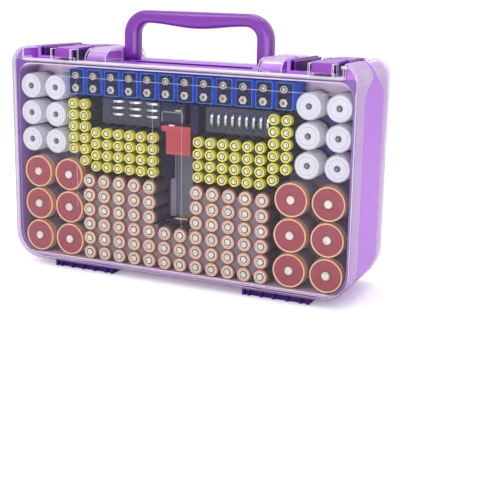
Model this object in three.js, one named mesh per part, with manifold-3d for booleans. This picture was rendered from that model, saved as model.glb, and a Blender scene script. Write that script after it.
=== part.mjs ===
// Double-sided battery storage case: an opaque ring body with a partition, a hinged clear lid on each
// side, a folding carrying handle, four flip latches, two cell trays and a sliding battery tester.
// Millimetres. +X is right as seen from the front, the front faces -Y, +Z is up, Z = 0 is the table.
import * as THREE from "three";
import Module from "manifold-3d";

const wasm = await Module();
wasm.setup();

// Case envelope
const case_width = 378;
const case_height = 226;
const top_corner_radius = 20;
const bottom_corner_radius = 28;
const lid_skin = 1.6;
const body_wall = 1.6;
const seam_gap = 0.4;
const tray_gap = 0.3;
const tray_wall = 1.2;
const overrun = 1;
const corner_steps = 3;

// Notches in the top for the handle and for the two latch zones
const notch_depth = 14;
const zone_side_room = 14.4;
const zone_width = 66;
const lobe_width = 24.2;
const notch_foot_radius = 2.4;
const notch_brow_radius = 3;
const notch_steps = 1;
const ledge_depth = 14;

// Shoulders of the top: the lobes rise behind the ledge in a curve, the outer corners are rounded
const lobe_curve_depth = 17;
const corner_curve_radius = 8;
const shoulder_steps = 4;

// Seam between each lid and the body: narrow band at the top, wide band below an S-shaped step
const top_band_half = 6;
const side_band_half = 30;
const seam_step_high = 12;
const seam_step_low = 34;
const seam_steps = 4;

// Hinges under the case
const knuckle_radius = 3.6;
const knuckle_clearance = 0.8;
const hinge_pin_radius = 1.6;
const running_gap = 0.1;
const hinge_length = 70.5;
const hinge_side_room_left = 46.5;
const hinge_side_room_right = 41.5;
const hinge_slots = 7;
const hinge_web_depth = 14;
const leaf_edge_inset = 5;
const leaf_bar = 4.4;
const leaf_pocket_depth = 2.6;
const leaf_pocket_high = 1;
const leaf_rib = 2.6;
const leaf_rib_shares = [0, 0.082, 0.278, 0.475, 0.684, 0.887, 1];
const finger_gap = 0.3;
const round_steps = 12;
const knuckle_steps = 8;

// Handle
const handle_side_gap = 3.9;
const handle_rise = 39;
const handle_leg = 13.5;
const handle_thickness = 15;
const handle_grip = 12.5;
const handle_belly = 3.5;
const handle_outer_radius = 26;
const handle_inner_radius = 11;
const handle_bevel = 3.4;
const handle_foot_clearance = 0.8;
const handle_pin_radius = 2.6;
const handle_pin_seat = 9;
const handle_curve_steps = 3;
const belly_steps = 8;

// Latches
const latch_width = 21;
const latch_end_room_right = 11.6;
const latch_end_room_left = 9.4;
const latch_pivot_offset = 5;
const latch_pivot_drop = 3.4;
const latch_knuckle_radius = 3.2;
const latch_pin_radius = 1.5;
const latch_sheet = 2.4;
const latch_nose_drop = 1.4;
const latch_front_inset = 5;
const latch_side_gap = 0.4;
const latch_ear = 2.4;
const latch_ear_half = 10;
const latch_lip_gap = 0.6;
const catch_rib_height = 3;
const catch_rib_width = 1.5;
const catch_wall = 1.4;
const catch_wall_drop = 2;
const well_end_room_right = 5;
const well_end_room_left = 7.2;
const well_wall = 2.2;
const well_floor = 1.5;
const well_ledge_gap = 2;
const well_drop = 1;
const well_rib_inset = 6;
const well_rib = 1.4;

// Layers through the depth, measured from the front face of the case
const cell_top_inset = 5;
const deck_protrusion = 33;
const deck_thickness = 2.5;
const partition_thickness = 2;
const tray_edge_inset = 4.5;
const back_layer = 39.7;
const back_deck_inset = 15;
const back_deck_thickness = 2;
const pad_thickness = 1.5;
const pad_rib = 1.6;
const pad_margin = 2;
const pad_overlap = 0.4;
const cell_clearance = 0.35;

// Upright cells of the front tray: radius, length, terminal
const aa_radius = 7.1;
const aa_length = 50.5;
const aa_pitch_x = 17.76;
const aa_pitch_z = 15.35;
const aa_centre_x = -2.2;
const aa_foot_room = 0.5;
const aa_head_room = 1.9;
const small_cell_sides = 8;

const aaa_radius = 5.25;
const aaa_length = 44.5;
const aaa_pitch_x = 13.3;
const aaa_pitch_z = 11.73;
const aaa_side_room = 3.25;
const aaa_top_room = 4.35;
const aaa_block_drop = 28.6;
const aaa_edge_rows = [5, 6];
const aaa_block_rows = 4;

const c_radius = 13.1;
const c_length = 50;
const c_side_room = 0.6;
const c_pitch_x = 30;
const c_top_room = 10;
const c_pitch_z = 28.1;
const c_nub_radius = 3.4;

const d_radius = 16.8;
const d_length = 61.5;
const d_side_room = 3.9;
const d_pitch_x = 38;
const d_foot_room = 1.3;
const d_pitch_z = 35;
const d_nub_radius = 4.6;

const nub_height = 1.5;
const large_cell_sides = 14;
const nub_sides = 8;
const side_columns = 2;
const c_rows = 3;

const block9_width = 17.5;
const block9_height = 26;
const block9_length = 46;
const block9_pitch = 20.9;
const block9_top_room = 2.4;
const snap_radius = 2.9;
const snap_socket_radius = 3.7;
const snap_spacing = 12.7;
const snap_height = 3;
const snap_sides = 6;
const snap_socket_sides = 6;

// Coin cells beside the tester
const coin_radius = 10;
const coin_thickness = 3.2;
const coin_sides = 10;
const coin_front_inset = 17;
const flat_coin_tester_gap = 3.4;
const flat_coin_pitch_x = 20.6;
const flat_coin_top_room = 4.3;
const flat_coin_pitch_z = 6.6;
const flat_coin_rows = 3;
const edge_coin_tester_gap = 10.6;
const edge_coin_pitch = 7.5;
const edge_coin_top_room = 6.5;

// Battery tester
const tester_left = -19.4;
const tester_right = 16.4;
const tester_top_room = 3;
const tester_length = 122;
const tester_height = 24;
const tester_base = 3;
const tester_meter_length = 20.5;
const tester_meter_right = 8;
const tester_bar_left = 13.8;
const tester_bar_right = 22.6;
const tester_bar_length = 28.3;
const tester_column_right = -14.4;
const tester_column_drop = 29.5;
const tester_column_length = 50;
const tester_column_height = 14.2;
const tester_rail_drop = 91.5;
const tester_rail_height = 14;
const tester_stop = 2;
const tester_stop_height = 16;
const slider_length = 29;
const slider_tab = 6;
const slider_tab_thickness = 5.5;
const slider_height = 22.6;
const slider_gap = 0.4;
const slider_rib = 1.2;
const slider_rib_height = 0.8;
const slider_rib_count = 6;
const slider_rib_pitch = 3.6;
const slider_travel = 35;
const slider_foot_room = 35.5;
const meter_margin = 2.6;
const meter_thickness = 1.4;
const meter_proud = 0.3;
const contact_half_width = 7;
const contact_thickness = 1.2;

// Lying cells of the back tray: radius, length, places
const back_pocket_gap = 0.5;
const back_cell_sides = 6;
const rib_least = 1;
const foot_side_room = 30;
const cell_18650 = { radius: 9.3, length: 66, drop: 30, pitch: 22, rows: 3 };
const cell_cr2 = { radius: 7.8, length: 27, drop: 39, pitch: 18.6, rows: 3 };
const cell_cr123 = { radius: 8.5, length: 34.5, drop: 42.7, pitch: 20.3 };
const cell_back_aa = { radius: 7.25, length: 50.5, drop: 93.3, pitch: 17 };
const cell_back_aaa = { radius: 5.1, length: 44.5, drop: 94, pitch: 10.4 };
const cell_centre = { radius: 6.6, length: 24, drop: 40.5, pitch: 15.1 };
const cell_a23 = { radius: 5.1, length: 28, drop: 21.4, pitch: 31.6, count: 5 };
const cell_mid = {
  radius: 5.1,
  length: 44.5,
  side_gap: 8.9,
  pitch_x: 49.5,
  rise: 31.8,
  pitch: 11.6,
  rows: 2,
};
const cell_foot = { radius: 5.1, length: 44.5, rise: 19.4, pitch: 48.4 };
// Shares of the free room that lie inside the two upper columns, and inside the two lower ones
const upper_gap_shares = [0.2376, 0.2174, 0.232];
const lower_gap_shares = [0.314, 0.2794];

// Derived levels
const hinge_drop = 2 * knuckle_radius + knuckle_clearance;
const front_layer = cell_top_inset + Math.max(aa_length, aaa_length, c_length, d_length) +
  pad_thickness + tray_gap;
const case_depth = front_layer + partition_thickness + back_layer;
const half_width = case_width / 2;
const half_depth = case_depth / 2;
const z_low = hinge_drop;
const z_top = z_low + case_height;
const z_notch = z_top - notch_depth;
const tongue_offset = lid_skin + seam_gap;
const inner_offset = tongue_offset + body_wall;
const tray_offset = inner_offset + tray_gap;
const tray_inner_offset = tray_offset + tray_wall;
const cell_top_y = -half_depth + cell_top_inset;
const deck_front_y = cell_top_y + deck_protrusion;
const deck_back_y = deck_front_y + deck_thickness;
const partition_front_y = -half_depth + front_layer;
const partition_back_y = partition_front_y + partition_thickness;
const back_deck_y = half_depth - back_deck_inset;
const ledge_back_y = half_depth - ledge_depth;
const hinge_y = side_band_half;
const hinge_z = knuckle_radius;
const leaf_reach = half_depth - hinge_y - leaf_edge_inset;
const well_half_depth = ledge_back_y - well_ledge_gap;
const latch_notch_outer = half_width - zone_side_room;
const latch_notch_inner = latch_notch_outer - zone_width;
const handle_notch_half = latch_notch_inner - lobe_width;
const handle_half_width = handle_notch_half - handle_side_gap;
const hinge_left = -half_width + hinge_side_room_left;
const hinge_right = half_width - hinge_side_room_right;

// How many copies at a pitch have their centres within a room
const fits = (room, pitch) => Math.max(Math.floor(room / pitch) + 1, 0);

// Places of the upright cells, from the tray's walls inwards
const room_side = half_width - tray_inner_offset;
const room_low = z_low + tray_inner_offset;
const room_high = z_notch - tray_inner_offset;
const d_inner_x = room_side - d_side_room - d_radius - (side_columns - 1) * d_pitch_x;
const c_inner_x = room_side - c_side_room - c_radius - (side_columns - 1) * c_pitch_x;
const c_high_z = room_high - c_top_room - c_radius;
const c_low_z = c_high_z - (c_rows - 1) * c_pitch_z;
const d_low_z = room_low + d_foot_room + d_radius;
const d_rows = fits(c_low_z - c_radius - d_radius - d_low_z, d_pitch_z);
const d_high_z = d_low_z + (d_rows - 1) * d_pitch_z;
const block9_centre_z = room_high - block9_top_room - block9_height / 2;
const block9_low_z = block9_centre_z - block9_height / 2;
const block9_count = fits(2 * (c_inner_x - c_radius) - block9_width, block9_pitch);
const tester_high = block9_low_z - tester_top_room;
const tester_low = tester_high - tester_length;
const tester_reach = Math.max(-tester_left, tester_right);
const aaa_outer_x = c_inner_x - c_radius - aaa_side_room - aaa_radius;
const aaa_edge_x = aaa_outer_x - (aaa_edge_rows.length - 1) * aaa_pitch_x - aaa_radius;
const aaa_high_z = block9_low_z - aaa_top_room - aaa_radius;
const aaa_block_high_z = aaa_high_z - aaa_block_drop;
const aaa_low_z = aaa_block_high_z - (aaa_block_rows - 1) * aaa_pitch_z;
const aaa_block_columns =
  fits(aaa_outer_x - aaa_radius - tester_reach, aaa_pitch_x) - aaa_edge_rows.length;
const aa_low_z = room_low + aa_foot_room + aa_radius;
const aa_rows = fits(aaa_low_z - aaa_radius - aa_head_room - aa_radius - aa_low_z, aa_pitch_z);
const aa_gap_rows = fits(tester_low - aa_radius - aa_low_z, aa_pitch_z);
const aa_side_columns =
  fits(d_inner_x - d_radius - aa_radius - Math.abs(aa_centre_x) - aa_pitch_x / 2, aa_pitch_x);
const aa_columns = 2 * aa_side_columns;
const aa_gap_columns = [aa_side_columns - 1, aa_side_columns];
const flat_coin_last_x = tester_left - flat_coin_tester_gap - coin_radius;
const flat_coin_columns = fits(aaa_edge_x + flat_coin_last_x - coin_radius, flat_coin_pitch_x);
const flat_coin_first_x = flat_coin_last_x - (flat_coin_columns - 1) * flat_coin_pitch_x;
const flat_coin_high_z = block9_low_z - flat_coin_top_room - coin_thickness / 2;
const edge_coin_first_x = tester_bar_right + edge_coin_tester_gap + coin_thickness / 2;
const edge_coin_count = fits(aaa_edge_x - coin_thickness / 2 - edge_coin_first_x, edge_coin_pitch);
const edge_coin_z = block9_low_z - edge_coin_top_room - coin_radius;

// Levels of the tester, from its top
const tester_meter_low = tester_high - tester_meter_length;
const tester_bar_low = tester_high - tester_bar_length;
const tester_column_high = tester_high - tester_column_drop;
const tester_column_low = tester_column_high - tester_column_length;
const tester_rail_low = tester_high - tester_rail_drop;
const slider_low = tester_low + slider_foot_room + slider_travel;
const slider_high = slider_low + slider_length;

// Places of the lying cells: rows from the top or the bottom, columns by their share of the free room
for (const cell of [cell_18650, cell_cr2, cell_cr123, cell_back_aa, cell_back_aaa, cell_centre, cell_a23])
  cell.high = z_notch - cell.drop;
cell_mid.high = z_low + cell_mid.rise + (cell_mid.rows - 1) * cell_mid.pitch;
cell_foot.z = z_low + cell_foot.rise;
const foot_top = cell_foot.z + cell_foot.radius;
const mid_top = cell_mid.high + cell_mid.radius;
for (const [cell, floor] of [[cell_cr123, mid_top], [cell_back_aaa, mid_top], [cell_back_aa, foot_top],
  [cell_centre, foot_top]])
  cell.rows = fits(cell.high - cell.radius - floor, cell.pitch);
cell_foot.count = fits(2 * (room_side - foot_side_room) - cell_foot.length, cell_foot.pitch);
cell_centre.x = 0;
placeColumns(cell_centre.length / 2, [cell_cr123, cell_cr2, cell_18650], upper_gap_shares);
placeColumns(cell_cr123.x + cell_cr123.length / 2, [cell_back_aaa, cell_back_aa], lower_gap_shares);
const mid_half = cell_mid.length / 2;
const mid_outer_x = cell_back_aa.x - cell_back_aa.length / 2 - cell_mid.side_gap - mid_half;
const mid_columns = fits(mid_outer_x - mid_half - cell_centre.length / 2, cell_mid.pitch_x);
cell_mid.xs = Array.from({ length: mid_columns }, (_, c) => mid_outer_x - c * cell_mid.pitch_x);

// Sets columns of cells side by side from an edge outwards, with their shares of the free room between.
function placeColumns(edge, cells, shares) {
  const free = room_side - edge - cells.reduce((sum, cell) => sum + cell.length, 0);
  let at = edge;
  cells.forEach((cell, i) => {
    at += free * shares[i] + cell.length;
    cell.x = at - cell.length / 2;
  });
}

const solids = [];

function box(x0, x1, y0, y1, z0, z1) {
  const g = new THREE.BoxGeometry(x1 - x0, y1 - y0, z1 - z0);
  return solid(g.translate((x0 + x1) / 2, (y0 + y1) / 2, (z0 + z1) / 2));
}

// A three.js geometry as a solid that can be added, cut and intersected.
function solid(geometry) {
  const flat = geometry.index ? geometry.toNonIndexed() : geometry;
  const place = flat.getAttribute("position");
  const keys = new Map();
  const vertices = [];
  const triangles = [];
  const grain = 1e5;
  for (let i = 0; i < place.count; i += 3) {
    const ids = [0, 1, 2].map((k) => {
      const p = [place.getX(i + k), place.getY(i + k), place.getZ(i + k)];
      const key = p.map((v) => Math.round(v * grain)).join();
      if (!keys.has(key)) {
        keys.set(key, keys.size);
        vertices.push(...p);
      }
      return keys.get(key);
    });
    if (ids[0] !== ids[1] && ids[1] !== ids[2] && ids[2] !== ids[0]) triangles.push(...ids);
  }
  const mesh = new wasm.Mesh({
    numProp: 3,
    vertProperties: new Float32Array(vertices),
    triVerts: new Uint32Array(triangles),
  });
  return new wasm.Manifold(mesh);
}

function join(list) {
  return list.reduce((a, b) => a.add(b));
}

function without(base, list) {
  return list.length ? base.subtract(join(list)) : base;
}

// A round bar along an axis, with flats facing the other two axes.
function bar(axis, radius, from, to, u, v, sides) {
  const across = radius / Math.cos(Math.PI / sides);
  const g = new THREE.CylinderGeometry(across, across, to - from, sides);
  g.rotateY(Math.PI / sides);
  if (axis === "x") g.rotateZ(-Math.PI / 2).translate((from + to) / 2, u, v);
  if (axis === "y") g.translate(u, (from + to) / 2, v);
  if (axis === "z") g.rotateX(Math.PI / 2).translate(u, v, (from + to) / 2);
  return solid(g);
}

// A pin whose edges lie on its radius, so that it turns inside a bar-shaped hole.
function pin(axis, radius, from, to, u, v, sides) {
  return bar(axis, radius * Math.cos(Math.PI / sides), from, to, u, v, sides);
}

// A shape drawn in X and Z, drawn out along Y.
function slabY(shape, y0, y1, steps) {
  const g = new THREE.ExtrudeGeometry(shape, {
    depth: y1 - y0,
    bevelEnabled: false,
    curveSegments: steps,
  });
  g.rotateX(Math.PI / 2).translate(0, y1, 0);
  return solid(g);
}

// A shape drawn in Y and Z, drawn out along X.
function slabX(points, x0, x1) {
  const shape = new THREE.Shape(points.map(([y, z]) => new THREE.Vector2(y, z)));
  const g = new THREE.ExtrudeGeometry(shape, { depth: x1 - x0, bevelEnabled: false });
  const turn = new THREE.Matrix4().set(0, 0, 1, x0, 1, 0, 0, 0, 0, 1, 0, 0, 0, 0, 0, 1);
  return solid(g.applyMatrix4(turn));
}

function addPart(name, body, color, finish) {
  const raw = body.getMesh();
  const g = new THREE.BufferGeometry();
  const p = new Float32Array(raw.numVert * 3);
  for (let i = 0; i < raw.numVert; i++)
    for (let k = 0; k < 3; k++) p[3 * i + k] = raw.vertProperties[i * raw.numProp + k];
  g.setAttribute("position", new THREE.BufferAttribute(p, 3));
  g.setIndex(new THREE.BufferAttribute(new Uint32Array(raw.triVerts), 1));
  const plain = g.toNonIndexed();
  plain.computeVertexNormals();
  const mesh = new THREE.Mesh(plain, new THREE.MeshStandardMaterial({ color, ...finish }));
  mesh.name = name;
  solids.push(mesh);
}

// The case's outline set in by an offset and closed at a level, without its notches.
function roundedOutline(offset, level) {
  const x = half_width - offset;
  const low = z_low + offset;
  const high = level - offset;
  const rt = Math.max(top_corner_radius - offset, overrun);
  const rb = Math.max(bottom_corner_radius - offset, overrun);
  const s = new THREE.Shape();
  s.moveTo(-x + rb, low);
  s.lineTo(x - rb, low);
  s.absarc(x - rb, low + rb, rb, -Math.PI / 2, 0, false);
  s.lineTo(x, high - rt);
  s.absarc(x - rt, high - rt, rt, 0, Math.PI / 2, false);
  s.lineTo(-x + rt, high);
  s.absarc(-x + rt, high - rt, rt, Math.PI / 2, Math.PI, false);
  s.lineTo(-x, low + rb);
  s.absarc(-x + rb, low + rb, rb, Math.PI, 1.5 * Math.PI, false);
  return s;
}

const notches = [
  [-handle_notch_half, handle_notch_half],
  [latch_notch_inner, latch_notch_outer],
  [-latch_notch_outer, -latch_notch_inner],
];

// One notch, with rounded feet and rounded brows, grown by an offset.
function notchShape([from, to], offset) {
  const x0 = from - offset;
  const x1 = to + offset;
  const floor = z_notch - offset;
  const foot = notch_foot_radius + offset;
  const brow = notch_brow_radius - offset;
  const brow_z = z_top - notch_brow_radius;
  const s = new THREE.Shape();
  s.moveTo(x0 + foot, floor);
  s.lineTo(x1 - foot, floor);
  s.absarc(x1 - foot, floor + foot, foot, -Math.PI / 2, 0, false);
  s.lineTo(x1, brow_z);
  s.absarc(x1 + brow, brow_z, brow, Math.PI, Math.PI / 2, true);
  s.lineTo(x1 + brow, z_top + overrun);
  s.lineTo(x0 - brow, z_top + overrun);
  s.lineTo(x0 - brow, brow_z + brow);
  s.absarc(x0 - brow, brow_z, brow, Math.PI / 2, 0, true);
  s.lineTo(x0, floor + foot);
  s.absarc(x0 + foot, floor + foot, foot, Math.PI, 1.5 * Math.PI, false);
  return s;
}

// The room under the shoulders, set in by an offset: one profile between the outer corners, one at them.
function shoulderRoom(offset) {
  const far = half_depth + overrun;
  const low = z_low - 2 * hinge_drop;
  const round = (foot_y, foot_z, deep, high) => {
    const curve = [];
    for (let i = 0; i <= shoulder_steps; i++) {
      const t = ((Math.PI / 2) * i) / shoulder_steps;
      curve.push([foot_y + deep * (1 - Math.cos(t)), foot_z + high * Math.sin(t)]);
    }
    return curve;
  };
  const both = (half) => [...half, ...half.map(([y, z]) => [-y, z]).reverse()];
  const lobe = both([
    [-far, low],
    [-far, z_notch - offset],
    ...round(-ledge_back_y + offset, z_notch - offset, lobe_curve_depth, notch_depth),
  ]);
  const bend = corner_curve_radius - offset;
  const corner = both([
    [-far, low],
    [-far, z_top - corner_curve_radius],
    ...round(-half_depth + offset, z_top - corner_curve_radius, bend, bend),
  ]);
  const edge = (latch_notch_inner + latch_notch_outer) / 2;
  const wide = half_width + overrun;
  return join([slabX(lobe.reverse(), -edge, edge), slabX(corner.reverse(), -wide, wide).subtract(
    box(-edge, edge, -far, far, z_notch - inner_offset, z_top + overrun))]);
}

function caseSolid(offset, y0, y1) {
  const base = slabY(roundedOutline(offset, z_top), y0, y1, corner_steps)
    .intersect(shoulderRoom(offset));
  return without(
    base,
    notches.map((n) => slabY(notchShape(n, offset), y0 - overrun, y1 + overrun, notch_steps)),
  );
}

// The plain room below the notches, set in by an offset.
function roomSolid(offset, y0, y1) {
  return slabY(roundedOutline(offset, z_notch), y0, y1, corner_steps);
}

// The seam line from bottom to top as [distance from mid-depth, height].
function seamLine(shift) {
  const line = [[side_band_half + shift, z_low - 2 * hinge_drop]];
  for (let i = 0; i <= seam_steps; i++) {
    const t = i / seam_steps;
    const ease = (1 - Math.cos(Math.PI * t)) / 2;
    const y = side_band_half + (top_band_half - side_band_half) * ease + shift;
    line.push([y, z_top - seam_step_low + (seam_step_low - seam_step_high) * t]);
  }
  line.push([top_band_half + shift, z_top + 2 * hinge_drop]);
  return line;
}

// The room in front of (side -1) or behind (side 1) the seam, right across the case.
function lidRoom(side) {
  const line = seamLine(0);
  const far = half_depth + overrun;
  const points = [...line, [far, line[line.length - 1][1]], [far, line[0][1]]];
  const placed = points.map(([y, z]) => [side * y, z]);
  return slabX(side < 0 ? placed.reverse() : placed, -half_width - overrun, half_width + overrun);
}

function bandRoom() {
  const line = seamLine(-seam_gap);
  const points = [...line.map(([y, z]) => [y, z]), ...line.map(([y, z]) => [-y, z]).reverse()];
  return slabX(points, -half_width - overrun, half_width + overrun);
}

const sides = [
  { name: "front", s: -1 },
  { name: "back", s: 1 },
];
const zones = [
  {
    name: "left",
    well: -latch_notch_outer + well_end_room_left,
    centre: -latch_notch_inner - latch_end_room_left - latch_width / 2,
  },
  {
    name: "right",
    well: latch_notch_inner + well_end_room_right,
    centre: latch_notch_outer - latch_end_room_right - latch_width / 2,
  },
];
const hinges = [
  { name: "left", from: hinge_left, to: hinge_left + hinge_length },
  { name: "right", from: hinge_right - hinge_length, to: hinge_right },
];
const span = (a, b) => [Math.min(a, b), Math.max(a, b)];

const purple = 0x9a5cc4;
const dark_purple = 0x7e4a9c;
const pin_steel = 0xb9bcc2;

// Places that latches, ears and catch pockets share
const latch_pivot_z = z_top - latch_pivot_drop;
const latch_front_y = half_depth - latch_front_inset;
const slot_width = hinge_length / hinge_slots;

// Ring body with its partition, latch wells, pivot ears and hinge fingers
{
  const long = half_depth + overrun;
  const ring = join([
    caseSolid(tongue_offset, -half_depth + tray_edge_inset, half_depth - tray_edge_inset),
    caseSolid(0, -half_depth, half_depth).intersect(bandRoom()),
    ...notches.map(([a, b]) =>
      box(a + notch_foot_radius, b - notch_foot_radius, -ledge_back_y + seam_gap,
        ledge_back_y - seam_gap, z_notch - tongue_offset - overrun, z_notch),
    ),
  ]);
  const lobes = [-1, 1].map((s) => {
    const [a, b] = span(s * (handle_notch_half + inner_offset), s * (latch_notch_inner - inner_offset));
    return box(a, b, -long, long, z_notch - inner_offset - overrun, z_top - inner_offset)
      .intersect(shoulderRoom(inner_offset));
  });
  let body = ring.subtract(join([roomSolid(inner_offset, -long, long), ...lobes]));
  body = body.add(roomSolid(inner_offset - overrun, partition_front_y, partition_back_y));
  const adds = [];
  const cuts = [];
  for (const zone of zones) {
    const near = zone.centre - latch_width / 2 - latch_side_gap;
    const far = zone.centre + latch_width / 2 + latch_side_gap;
    const low = z_notch - overrun;
    const high = z_top - well_drop;
    const left = zone.well;
    adds.push(box(left, near, -well_half_depth, well_half_depth, low, high));
    cuts.push(
      box(left + well_wall, near - latch_ear, -well_half_depth + well_wall,
        well_half_depth - well_wall, z_notch + well_floor, high + overrun),
    );
    adds.push(box(far, far + latch_ear, -latch_ear_half, latch_ear_half, low, z_top));
    adds.push(box(near - latch_ear, near, -latch_ear_half, latch_ear_half, low, z_top));
    for (const { s } of sides)
      cuts.push(
        bar("x", latch_pin_radius + running_gap, near - latch_ear - overrun,
          far + latch_ear + overrun, s * latch_pivot_offset, latch_pivot_z, knuckle_steps),
      );
  }
  for (const s of [-1, 1]) {
    const [a, b] = span(s * (handle_notch_half - overrun), s * (handle_notch_half + handle_pin_seat));
    cuts.push(
      bar("x", handle_pin_radius + running_gap, a, b, 0, handlePivotZ(), round_steps),
    );
  }
  for (const h of hinges)
    for (const { s } of sides) {
      for (let i = 1; i < hinge_slots; i += 2) {
        const x0 = h.from + i * slot_width + finger_gap;
        const x1 = h.from + (i + 1) * slot_width - finger_gap;
        const [y0, y1] = span(s * (hinge_y - seam_gap), s * (hinge_y - hinge_web_depth));
        adds.push(box(x0, x1, y0, y1, 0, z_low + body_wall / 2));
        adds.push(bar("x", knuckle_radius, x0, x1, s * hinge_y, hinge_z, knuckle_steps));
      }
      cuts.push(
        bar("x", hinge_pin_radius + running_gap, h.from - overrun, h.to + overrun,
          s * hinge_y, hinge_z, knuckle_steps),
      );
    }
  body = body.add(join(adds)).subtract(join(cuts));
  const ribs = zones.map((zone) => {
    const left = zone.well + well_rib_inset;
    return box(left, left + well_rib, -well_half_depth + well_wall / 2,
      well_half_depth - well_wall / 2, z_notch + well_floor / 2, z_top - 2 * well_drop);
  });
  body = body.add(join(ribs));
  addPart("body_frame", body, purple, { roughness: 0.4 });
}

function handlePivotZ() {
  return z_notch + handle_thickness / 2 + handle_foot_clearance;
}

// Clear lids with their notched top skirts, ledges and catch pockets
for (const { name, s } of sides) {
  const [o0, o1] = span(s * half_depth, 0);
  const [i0, i1] = span(s * (half_depth - lid_skin), -s * overrun);
  let lid = caseSolid(0, o0, o1).subtract(caseSolid(lid_skin, i0, i1)).intersect(lidRoom(s));
  const [l0, l1] = span(s * ledge_back_y, 0);
  lid = without(lid, notches.map(([a, b]) => box(a, b, l0, l1, z_notch - 2 * lid_skin, z_top)));
  const adds = [];
  for (const zone of zones) {
    const near = zone.centre - latch_width / 2 - latch_side_gap;
    const far = zone.centre + latch_width / 2 + latch_side_gap;
    const [c0, c1] = span(s * (half_depth - lid_skin / 2), s * (ledge_back_y + seam_gap));
    const low = z_notch - lid_skin / 2;
    const high = z_top - catch_wall_drop;
    adds.push(box(near - catch_wall, near, c0, c1, low, high));
    adds.push(box(far, far + catch_wall, c0, c1, low, high));
    const rib_y = latch_front_y - latch_sheet - seam_gap;
    const [r0, r1] = span(s * rib_y, s * (rib_y - catch_rib_width));
    adds.push(box(near - overrun, far + overrun, r0, r1, low, z_notch + catch_rib_height));
  }
  lid = lid.add(join(adds));
  addPart(name + "_lid", lid, 0xe9e2f2, { roughness: 0.1, transparent: true, opacity: 0.3 });
}

// Flip latches: a strap from the mid-depth pivot to a nose that closes over the catch rib
for (const zone of zones)
  for (const { name, s } of sides) {
    const x0 = zone.centre - latch_width / 2;
    const x1 = zone.centre + latch_width / 2;
    const nose_low = z_notch + catch_rib_height + latch_lip_gap;
    const front = latch_front_y;
    const top_front = z_top - latch_nose_drop;
    const sheet = latch_sheet;
    const profile = [
      [front, nose_low],
      [front, top_front - sheet],
      [front - sheet, top_front],
      [latch_pivot_offset, latch_pivot_z + latch_knuckle_radius],
      [latch_pivot_offset, latch_pivot_z + latch_knuckle_radius - sheet],
      [front - sheet, top_front - sheet],
      [front - sheet, nose_low],
    ];
    const placed = profile.map(([y, z]) => [s * y, z]);
    const strap = slabX(s > 0 ? placed : placed.reverse(), x0, x1);
    const knuckle = bar("x", latch_knuckle_radius, x0, x1, s * latch_pivot_offset,
      latch_pivot_z, round_steps);
    const hole = bar("x", latch_pin_radius + running_gap, x0 - overrun, x1 + overrun,
      s * latch_pivot_offset, latch_pivot_z, knuckle_steps);
    addPart(`latch_${name}_${zone.name}`, strap.add(knuckle).subtract(hole), purple,
      { roughness: 0.35 });
    const reach = latch_side_gap + latch_ear;
    addPart(`latch_pin_${name}_${zone.name}`,
      pin("x", latch_pin_radius, x0 - reach, x1 + reach, s * latch_pivot_offset,
        latch_pivot_z, knuckle_steps),
      pin_steel, { roughness: 0.3, metalness: 1 });
  }

// Carrying handle: a bail with rounded shoulders and a finger belly under the grip
{
  const pivot = handlePivotZ();
  const w = handle_half_width - handle_bevel;
  const top = z_top + handle_rise - handle_bevel;
  const inner = handle_half_width - handle_leg + handle_bevel;
  const under = z_top + handle_rise - handle_grip + handle_bevel;
  const ro = handle_outer_radius - handle_bevel;
  const ri = handle_inner_radius + handle_bevel;
  const shape = new THREE.Shape();
  shape.moveTo(-w, pivot);
  shape.lineTo(-w, top - ro);
  shape.absarc(-w + ro, top - ro, ro, Math.PI, Math.PI / 2, true);
  shape.lineTo(w - ro, top);
  shape.absarc(w - ro, top - ro, ro, Math.PI / 2, 0, true);
  shape.lineTo(w, pivot);
  shape.lineTo(inner, pivot);
  shape.lineTo(inner, under - ri);
  shape.absarc(inner - ri, under - ri, ri, 0, Math.PI / 2, false);
  for (let i = 1; i < belly_steps; i++) {
    const t = i / belly_steps;
    const drop = (handle_belly * (1 - Math.cos(2 * Math.PI * t))) / 2;
    shape.lineTo((inner - ri) * (1 - 2 * t), under - drop);
  }
  shape.absarc(-inner + ri, under - ri, ri, Math.PI / 2, Math.PI, false);
  shape.lineTo(-inner, pivot);
  const g = new THREE.ExtrudeGeometry(shape, {
    depth: handle_thickness - 2 * handle_bevel,
    bevelEnabled: true,
    bevelThickness: handle_bevel,
    bevelSize: handle_bevel,
    bevelSegments: 2,
    curveSegments: handle_curve_steps,
  });
  g.rotateX(Math.PI / 2).translate(0, handle_thickness / 2 - handle_bevel, 0);
  const wide = handle_half_width + overrun;
  let handle = solid(g).intersect(
    box(-wide, wide, -handle_thickness, handle_thickness, pivot, z_top + handle_rise + overrun),
  );
  for (const s of [-1, 1]) {
    const [a, b] = span(s * handle_half_width, s * (handle_half_width - handle_leg));
    handle = handle.add(bar("x", handle_thickness / 2, a, b, 0, pivot, round_steps));
  }
  for (const s of [-1, 1]) {
    const [a, b] = span(s * (handle_half_width + overrun), s * (handle_half_width - handle_pin_seat));
    handle = handle.subtract(
      bar("x", handle_pin_radius + running_gap, a, b, 0, pivot, round_steps),
    );
  }
  addPart("handle", handle, dark_purple, { roughness: 0.35 });
  for (const { name, s } of [{ name: "left", s: -1 }, { name: "right", s: 1 }]) {
    const deep = handle_half_width - handle_pin_seat + tray_gap;
    const [a, b] = span(s * deep, s * (handle_notch_half + body_wall + lid_skin));
    addPart(`handle_pin_${name}`,
      pin("x", handle_pin_radius, a, b, 0, pivot, round_steps), dark_purple, { roughness: 0.4 });
  }
}

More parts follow.
